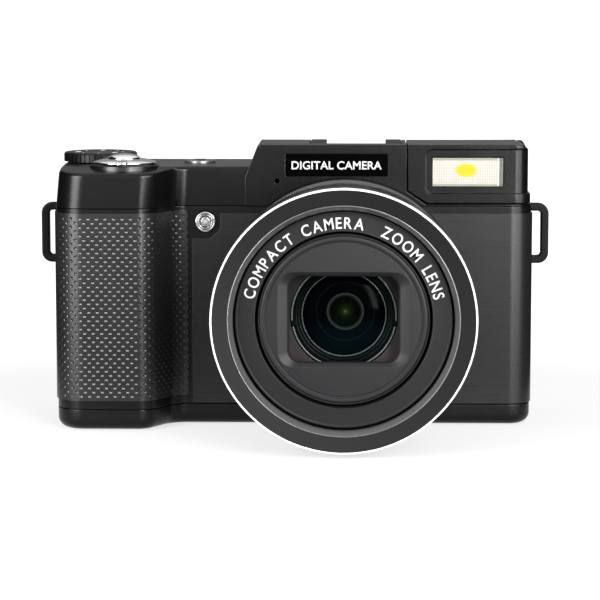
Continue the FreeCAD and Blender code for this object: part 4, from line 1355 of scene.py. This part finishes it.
def makeShoe():
    low, high = span("accessory_shoe")
    floor = 65.4
    shoe = block("accessoryShoe", (low.x, high.x), (low.y, high.y), (low.z, high.z), 0.5, "XY")
    middle = (low.x + high.x) / 2
    cut(shoe,
        block("channel", (low.x + 1.7, high.x - 1.7), (low.y + 1.2, high.y + 3), (floor, high.z - 1.35)))
    cut(shoe, block("opening", (low.x + 3.9, high.x - 3.9), (low.y + 1.2, high.y + 3), (floor, high.z + 3)))
    for x in (middle, middle - 3.2, middle + 3.2, middle - 1.6):
        depth = 2.2 if x == middle else 4.2
        pad = turned("pad", [(0.85, floor - 0.4), (0.85, floor + 0.04), (0.7, floor + 0.1)],
                     (x, low.y + 2 + depth), "Z", 24, True)
        cut(shoe, pad, "UNION")
    soften(shoe, 0.16, 2, 35)
    settle(shoe, "body", "black_metal", blackMetal, "accessory_shoe")


dialPlastic = moulded("dialPlastic", (0.0022, 0.0022, 0.0024), 0.36, grain=7.0, specular=0.14)
lampMetal = polished("lampMetal", (0.42, 0.42, 0.42), 0.2)
makeLamp()
makeLugs()
makeDial()
makeShutter()
makeShoe()
print("top and side parts ready")


# screen, buttons and the back
rear = {
    "hinge": (43.7, 13.0),
    "knuckle": 2.0,
    "hingeEnd": 6.0,
    "seam": 0.3,
}


def makeScreen():
    low, high = span("screen_frame")
    right = 41.3
    hingeX, hingeY = rear["hinge"]
    frame = block("screenFrame", (low.x, right), (low.y, high.y), (low.z, high.z), 1.6)
    bevelEdges(frame, 0.7, 3, lambda middle, e: abs(middle.y - high.y) < 0.01)
    glassLow, glassHigh = span("screen_glass")
    cut(frame, block("seat", (glassLow.x - 0.12, glassHigh.x + 0.12), (glassLow.y, high.y + 1),
                     (glassLow.z - 0.12, glassHigh.z + 0.12), 0.8))
    middle = (low.z + high.z) / 2
    cut(frame, block("fingerGrip", (low.x - 1, low.x + 0.9), (low.y - 1, low.y + 2.0),
                     (middle - 6, middle + 6), 0.6, "YZ"))
    bottom, top = low.z + rear["hingeEnd"] + rear["seam"], high.z - rear["hingeEnd"] - rear["seam"]
    roller = turned("roller", [(rear["knuckle"], bottom), (rear["knuckle"], top)], (hingeX, hingeY), "Z",
                    48, True)
    cut(frame, roller, "UNION")
    cut(frame, block("web", (right - 1, hingeX), (hingeY - 1, hingeY + 1), (bottom, top)), "UNION")
    soften(frame, 0.18, 2, 35)
    settle(frame, "screen", "body_plastic", blackPlastic, "screen_frame")
    glass = block("screenGlass", (glassLow.x, glassHigh.x), (glassLow.y, glassHigh.y),
                  (glassLow.z, glassHigh.z), 0.75)
    with editing(glass):
        pick(glass, "FACE", lambda middle, f: f.normal.y > 0.9)
        bpy.ops.mesh.inset(thickness=0.35 * mm, depth=0)
    soften(glass, 0.12, 2)
    settle(glass, "screen", "screen_glass", screenFinish((glassLow + glassHigh) / 2, glassHigh - glassLow),
           "screen_glass")
    hinge = turned("screenHinge", [(0.9, low.z), (0.9, high.z)], (hingeX, hingeY), "Z", 32, True)
    for z in (low.z, high.z - rear["hingeEnd"]):
        knuckle = turned("knuckle", [(rear["knuckle"] - 0.25, z), (rear["knuckle"], z + 0.25),
                                     (rear["knuckle"], z + rear["hingeEnd"] - 0.25),
                                     (rear["knuckle"] - 0.25, z + rear["hingeEnd"])], (hingeX, hingeY), "Z",
                         48, True)
        cut(hinge, knuckle, "UNION")
        cut(hinge, block("foot", (hingeX - 1.1, hingeX + 1.1), (10.0, hingeY),
                         (z + 0.1, z + rear["hingeEnd"] - 0.1)), "UNION")
    soften(hinge, 0.08, 2, 35)
    settle(hinge, "body", "black_metal", blackMetal, "screen_hinge")


def screenFinish(centre, size):
    # black border with the slightly bluer display area inside it
    finish = Finish("screenGlass", (0.003, 0.003, 0.004), 0.05, Specular_IOR_Level=0.5)
    where = finish.place(centre)
    across = finish.node("Math", {"operation": "ABSOLUTE"},
                         s0=finish.node("SeparateXYZ", out=0, Vector=where))
    up = finish.node("Math", {"operation": "ABSOLUTE"}, s0=finish.node("SeparateXYZ", out=2, Vector=where))
    inside = (across < size.x / 2 - 3.2) * (up < size.z / 2 - 2.6)
    cloud = finish.noise(finish.place(), 0.1, 2.0)
    tone = finish.mix(inside * (cloud * 0.5 + 0.5), (0.002, 0.002, 0.0025, 1), (0.014, 0.016, 0.024, 1))
    finish.set("Base Color", tone)
    finish.set("Roughness", cloud * 0.06 + 0.03)
    return finish.material


def pushCap(name, node, radius, rides, finish):
    low, high = span(node)
    at = ((low.x + high.x) / 2, (low.z + high.z) / 2)
    top = high.y
    cap = turned(name, [(radius + 0.7, low.y), (radius + 0.7, low.y + 0.6), (radius, low.y + 0.8),
                        (radius, top - 0.25),
                        (radius - 0.2, top - 0.05), (radius - 0.5, top), (radius * 0.6, top - 0.06),
                        (0.2, top - 0.1)],
                 at, sides=64, solid=True)
    soften(cap, 0.04, 2)
    settle(cap, rides, "body_plastic", finish, node)
    return at, top


def rearMark(name, shapes, at, top, rides):
    # print on a cap: bars (x from, x to, z from, z to) and triangles as three corners (x, z)
    bits = []
    for shape in shapes:
        if len(shape) == 3:
            corners = [(at[0] + x, at[1] + z) for x, z in shape]
            bits.append(slab("bit", corners, top - 0.12, top + 0.02, "XZ"))
        else:
            bits.append(block("bit", (at[0] + shape[0], at[0] + shape[1]), (top - 0.12, top + 0.02),
                              (at[1] + shape[2], at[1] + shape[3])))
    if len(bits) > 1:
        join(bits[0], *bits[1:])
    bits[0].name = name
    settle(bits[0], rides, "white_print", whitePrint)


def makeButtons():
    at, top = pushCap("menuButton", "menu_button", 3.0, "menu_button", dialPlastic)
    rearMark("menuMark", [(-1.2, 1.2, 0.75, 1.0), (-1.2, 1.2, -0.12, 0.12), (-1.2, 1.2, -1.0, -0.75)], at,
             top, "menu_button")
    at, top = pushCap("playButton", "play_button", 3.0, "play_button", dialPlastic)
    rearMark("playMark", [((1.0, -1.2), (1.0, 1.2), (-1.1, 0.0))], at, top, "play_button")
    at, top = pushCap("recordButton", "record_button", 2.2, "record_button", dialPlastic)
    dot = turned("recordMark", [(0.85, top - 0.12), (0.85, top + 0.02), (0.2, top + 0.03)], at, sides=40,
                 solid=True)
    settle(dot, "record_button", "white_print", redPrint)
    at, top = pushCap("flashRelease", "flash_release", 2.0, "flash_release", dialPlastic)
    rearMark("flashMark", [((-0.1, -0.1), (0.55, 0.1), (-0.35, 1.1)),
                           ((0.1, 0.15), (-0.55, -0.05), (0.4, -1.1))], at, top, "flash_release")

    low, high = span("direction_pad")
    at = ((low.x + high.x) / 2, (low.z + high.z) / 2)
    top = high.y
    pad = turned("directionPad", [(10.3, low.y), (10.3, low.y + 0.6), (9.5, low.y + 0.9), (9.5, top - 0.35),
                                  (9.3, top - 0.1),
                                  (8.9, top), (7.6, top - 0.12), (5.2, top - 0.3), (4.5, top - 0.32),
                                  (4.25, top - 0.5), (4.25, low.y)],
                 at, sides=128)
    soften(pad, 0.05, 2, 25)
    settle(pad, "direction_pad", "body_plastic", dialPlastic, "direction_pad")
    arrows = []
    for i in range(4):
        angle = math.pi / 2 * i
        ahead, side = Vector((math.sin(angle), math.cos(angle))), Vector((math.cos(angle),
                                                                          -math.sin(angle)))
        corners = [ahead * 7.9, ahead * 6.9 + side * 0.75, ahead * 6.9 - side * 0.75]
        arrows.append(tuple((c.x, c.y) for c in corners))
    rearMark("padMarks", arrows, at, top - 0.1, "direction_pad")
    low, high = span("ok_button")
    at, top = pushCap("okButton", "ok_button", 3.2, "ok_button", satinBlack)
    words = letterMesh("okWords", "OK", 2.0, 0.01, 0.05)
    across = [v.co.x / mm for v in words.data.vertices]
    words.rotation_euler = (math.pi / 2, 0, math.pi)
    words.location = Vector((at[0] + (min(across) + max(across)) / 2, top - 0.02, at[1] - 0.72)) * mm
    only(words)
    bpy.ops.object.transform_apply(location=True, rotation=True, scale=True)
    settle(words, "ok_button", "white_print", whitePrint)


def makeDoors():
    low, high = span("battery_door")
    z0, z1 = low.z, high.z
    door = block("batteryDoor", (low.x, -48.6), (-17.0, 9.0), (z0, z1), 0.7, "XY")
    for y in (-14.5, -4.0, 6.5):
        knuckle = turned("knuckle", [(0.6, y - 1.8), (0.6, y + 1.8)], (-47.6, 0.8), "Y", 24, True)
        cut(door, knuckle, "UNION")
        cut(door, block("arm", (-49.4, -47.6), (y - 1.7, y + 1.7), (z0 + 0.2, z1)), "UNION")
    for i in range(4):
        x = -63.8 + i * 1.1
        cut(door, block("ridge", (x, x + 0.5), (-8.5, 0.5), (z0 - 1, z0 + 0.25)))
    soften(door, 0.12, 2, 35)
    settle(door, "battery_door", "body_plastic", blackPlastic, "battery_door")
    low, high = span("port_cover")
    cover = block("portCover", (low.x, high.x), (low.y, 3.9), (12.0, 34.0), 0.9, "YZ")
    roll = turned("roll", [(0.55, 12.4), (0.55, 33.6)], (45.1, 4.6), "Z", 24, True)
    cut(cover, block("web", (44.7, 45.5), (3.5, 4.6), (12.4, 33.6)), "UNION")
    cut(cover, roll, "UNION")
    cut(cover,
        block("nail", (high.x - 0.35, high.x + 1), (low.y + 0.6, low.y + 1.5), (18.5, 27.5), 0.4, "YZ"))
    soften(cover, 0.14, 2, 35)
    settle(cover, "port_cover", "body_plastic", dialPlastic, "port_cover")


def makeUnderside():
    high = span("tripod_bush")[1]
    bush = turned("tripodBush", [(6.5, high.z), (6.5, high.z - 1.2), (4.95, high.z - 1.2), (4.95, 0.1),
                                 (4.85, 0.02), (3.4, 0.02), (2.9, 0.6),
                                 (2.65, 0.9), (2.65, 5.5), (2.65, high.z)], (0, 0), "Z", 64)
    for i in range(5):
        z = 1.3 + i * 0.9
        thread = turned("thread", [(2.6, z), (3.05, z + 0.3), (2.6, z + 0.6)], (0, 0), "Z", 64)
        cut(bush, thread)
    soften(bush, 0.05, 2)
    settle(bush, "body", "brass", steel, "tripod_bush")
    screws = []
    for x, y in screwSpots:
        screw = turned("screw", [(1.7, 1.55), (1.85, 0.95), (1.75, 0.6), (1.3, 0.45), (0.2, 0.42)], (x, y),
                       "Z", 40, True)
        shank = turned("shank", [(0.95, 1.4), (0.95, 4.7)], (x, y), "Z", 24, True)
        cut(screw, shank, "UNION")
        for wide, tall in ((1.0, 0.22), (0.22, 1.0)):
            cut(screw, block("slot", (x - wide, x + wide), (y - tall, y + tall), (-1, 0.85), 0, "XY"))
        screws.append(screw)
    join(screws[0], *screws[1:])
    screws[0].name = "caseScrews"
    soften(screws[0], 0.05, 2)
    settle(screws[0], "body", "steel", steel, "case_screws")


satinBlack = moulded("satinBlack", (0.006, 0.006, 0.0065), 0.25, grain=3.0, depth=0.004, specular=0.4)
redPrint = moulded("redPrint", (0.55, 0.02, 0.015), 0.45, grain=5.0, depth=0.004, spread=0.05)
makeScreen()
makeButtons()
makeDoors()
makeUnderside()
print("back and underside ready")


# the parts inside keep their own shapes and take a finish by their slot
innerGlass = moulded("innerGlass", (0.02, 0.03, 0.028), 0.05, grain=0.5, depth=0.001, specular=0.5,
                     Transmission_Weight=0.5)
inside = {
    "lens_black": barrelBlack, "lens_glass": innerGlass, "black_metal": blackMetal, "brass": brassTurned,
          "steel": steel,
    "circuit": greenBoard, "gloss_black": glossBlack, "cell_wrap": cellWrap, "card_plastic": cardPlastic,
    "reflector": brightReflector, "clear_plastic": innerGlass, "chrome": chrome,
          "body_plastic": blackPlastic,
}


def finishInside():
    for part in frame["record"]["subparts"]:
        node = frame["nodes"][part["node"]]
        if not node.hide_render:
            node.data.materials.clear()
            node.data.materials.append(inside[part["material_slot"]])


finishInside()
print("inside parts finished")


# floor, light and camera
studio = {
    "eye": (3.0, -615.0, 106.8),
    "pitch": 7.2,
    "yaw": 1.337,
    "lens": 147.5,
    "floorShade": 0.13,
    "floorGlow": (0.72, 1.1, 90, 230),
    "horizon": 1.05,
    "overhead": 0.9,
    "board": 0.32,
    # name: (azimuth from the front, distance, height, width, tall, watts)
    "lights": {
        "leftBox": (-43, 620, 190, 300, 460, 10.0),
        "rightBox": (36, 620, 190, 520, 460, 11.0),
        "rightStrip": (20, 560, 190, 70, 460, 3.0),
        "topBox": (0, 90, 760, 620, 420, 1.2),
    },
    # cards that only reflections see, black but for the grey backCard:
    # (x from, x to), (y from, y to), (z from, z to)
    "cards": {
        "leftCard": ((-332, -330), (-160, 900), (1, 420)),
        "rightCard": ((330, 332), (-160, 900), (1, 420)),
        "frontCard": ((-110, 110), (-560, -66), (1, 2)),
        "leftFloorCard": ((-420, -120), (-60, 900), (1, 2)),
        "rightFloorCard": ((80, 420), (-60, 900), (1, 2)),
        "backCard": ((-500, 500), (500, 502), (2, 420)),
    },
}


def makeStudio():
    world = bpy.data.worlds.new("studio")
    bpy.context.scene.world = world
    world.use_nodes = True
    tree = world.node_tree
    shade = tree.nodes["Background"]
    toSky = tree.nodes.new("ShaderNodeTexCoord")
    height = tree.nodes.new("ShaderNodeSeparateXYZ")
    ramp = tree.nodes.new("ShaderNodeMapRange")
    tree.links.new(toSky.outputs["Generated"], height.inputs[0])
    tree.links.new(height.outputs["Z"], ramp.inputs["Value"])
    for word, value in (("From Min", 0.05), ("From Max", 0.5), ("To Min", studio["horizon"]),
                        ("To Max", studio["overhead"])):
        ramp.inputs[word].default_value = value
    tree.links.new(ramp.outputs[0], shade.inputs["Strength"])
    shade.inputs["Color"].default_value = (1, 1, 1, 1)

    deselect()
    bpy.ops.mesh.primitive_circle_add(vertices=64, radius=6, fill_type="NGON", location=(0, 0, -0.0002))
    floor = named("studioFloor")
    paper = Finish("studioWhite", (studio["floorShade"],) * 3, 0.9, Specular_IOR_Level=0.0)
    paper.set("Emission Color", (1, 1, 1, 1))
    near, far, start, end = studio["floorGlow"]
    away = paper.node("VectorMath", {"operation": "LENGTH"}, out=1,
                      s0=paper.place((-10, -20, 0), (0.8, 1, 1)))
    paper.set("Emission Strength", paper.node("MapRange", {"interpolation_type": "SMOOTHSTEP"}, Value=away,
                                              From_Min=start, From_Max=end,
                                              To_Min=near, To_Max=far))
    floor.data.materials.append(paper.material)

    board = Finish("studioGrey", (0, 0, 0), 0.9, Specular_IOR_Level=0.0)
    board.set("Emission Color", (studio["board"],) * 3 + (1,))
    board.set("Emission Strength", 1.0)
    for name, (x, y, z) in studio["cards"].items():
        card = block(name, x, y, z)
        card.data.materials.append(board.material if name == "backCard" else deepBlack)
        card.visible_camera = card.visible_diffuse = card.visible_shadow = False

    aim = Vector((-10, -15, 32)) * mm
    for name, (azimuth, distance, height, wide, tall, watts) in studio["lights"].items():
        angle = math.radians(azimuth)
        spot = Vector((math.sin(angle) * distance, -math.cos(angle) * distance, height)) * mm
        turn = (aim - spot).to_track_quat("-Z", "Y").to_euler()
        bpy.ops.object.light_add(type="AREA", location=spot, rotation=turn)
        lamp = bpy.context.active_object
        lamp.name = name
        lamp.data.shape = "RECTANGLE"
        lamp.data.size = wide * mm
        lamp.data.size_y = tall * mm
        lamp.data.energy = watts
        lamp.visible_camera = False

    bpy.ops.object.camera_add(location=Vector(studio["eye"]) * mm,
                              rotation=(math.radians(90 - studio["pitch"]), 0, math.radians(studio["yaw"])))
    camera = bpy.context.active_object
    camera.data.lens = studio["lens"]
    camera.data.clip_start = 0.01
    bpy.context.scene.camera = camera
    bpy.context.scene.view_settings.view_transform = "Standard"


makeStudio()
print("studio ready")
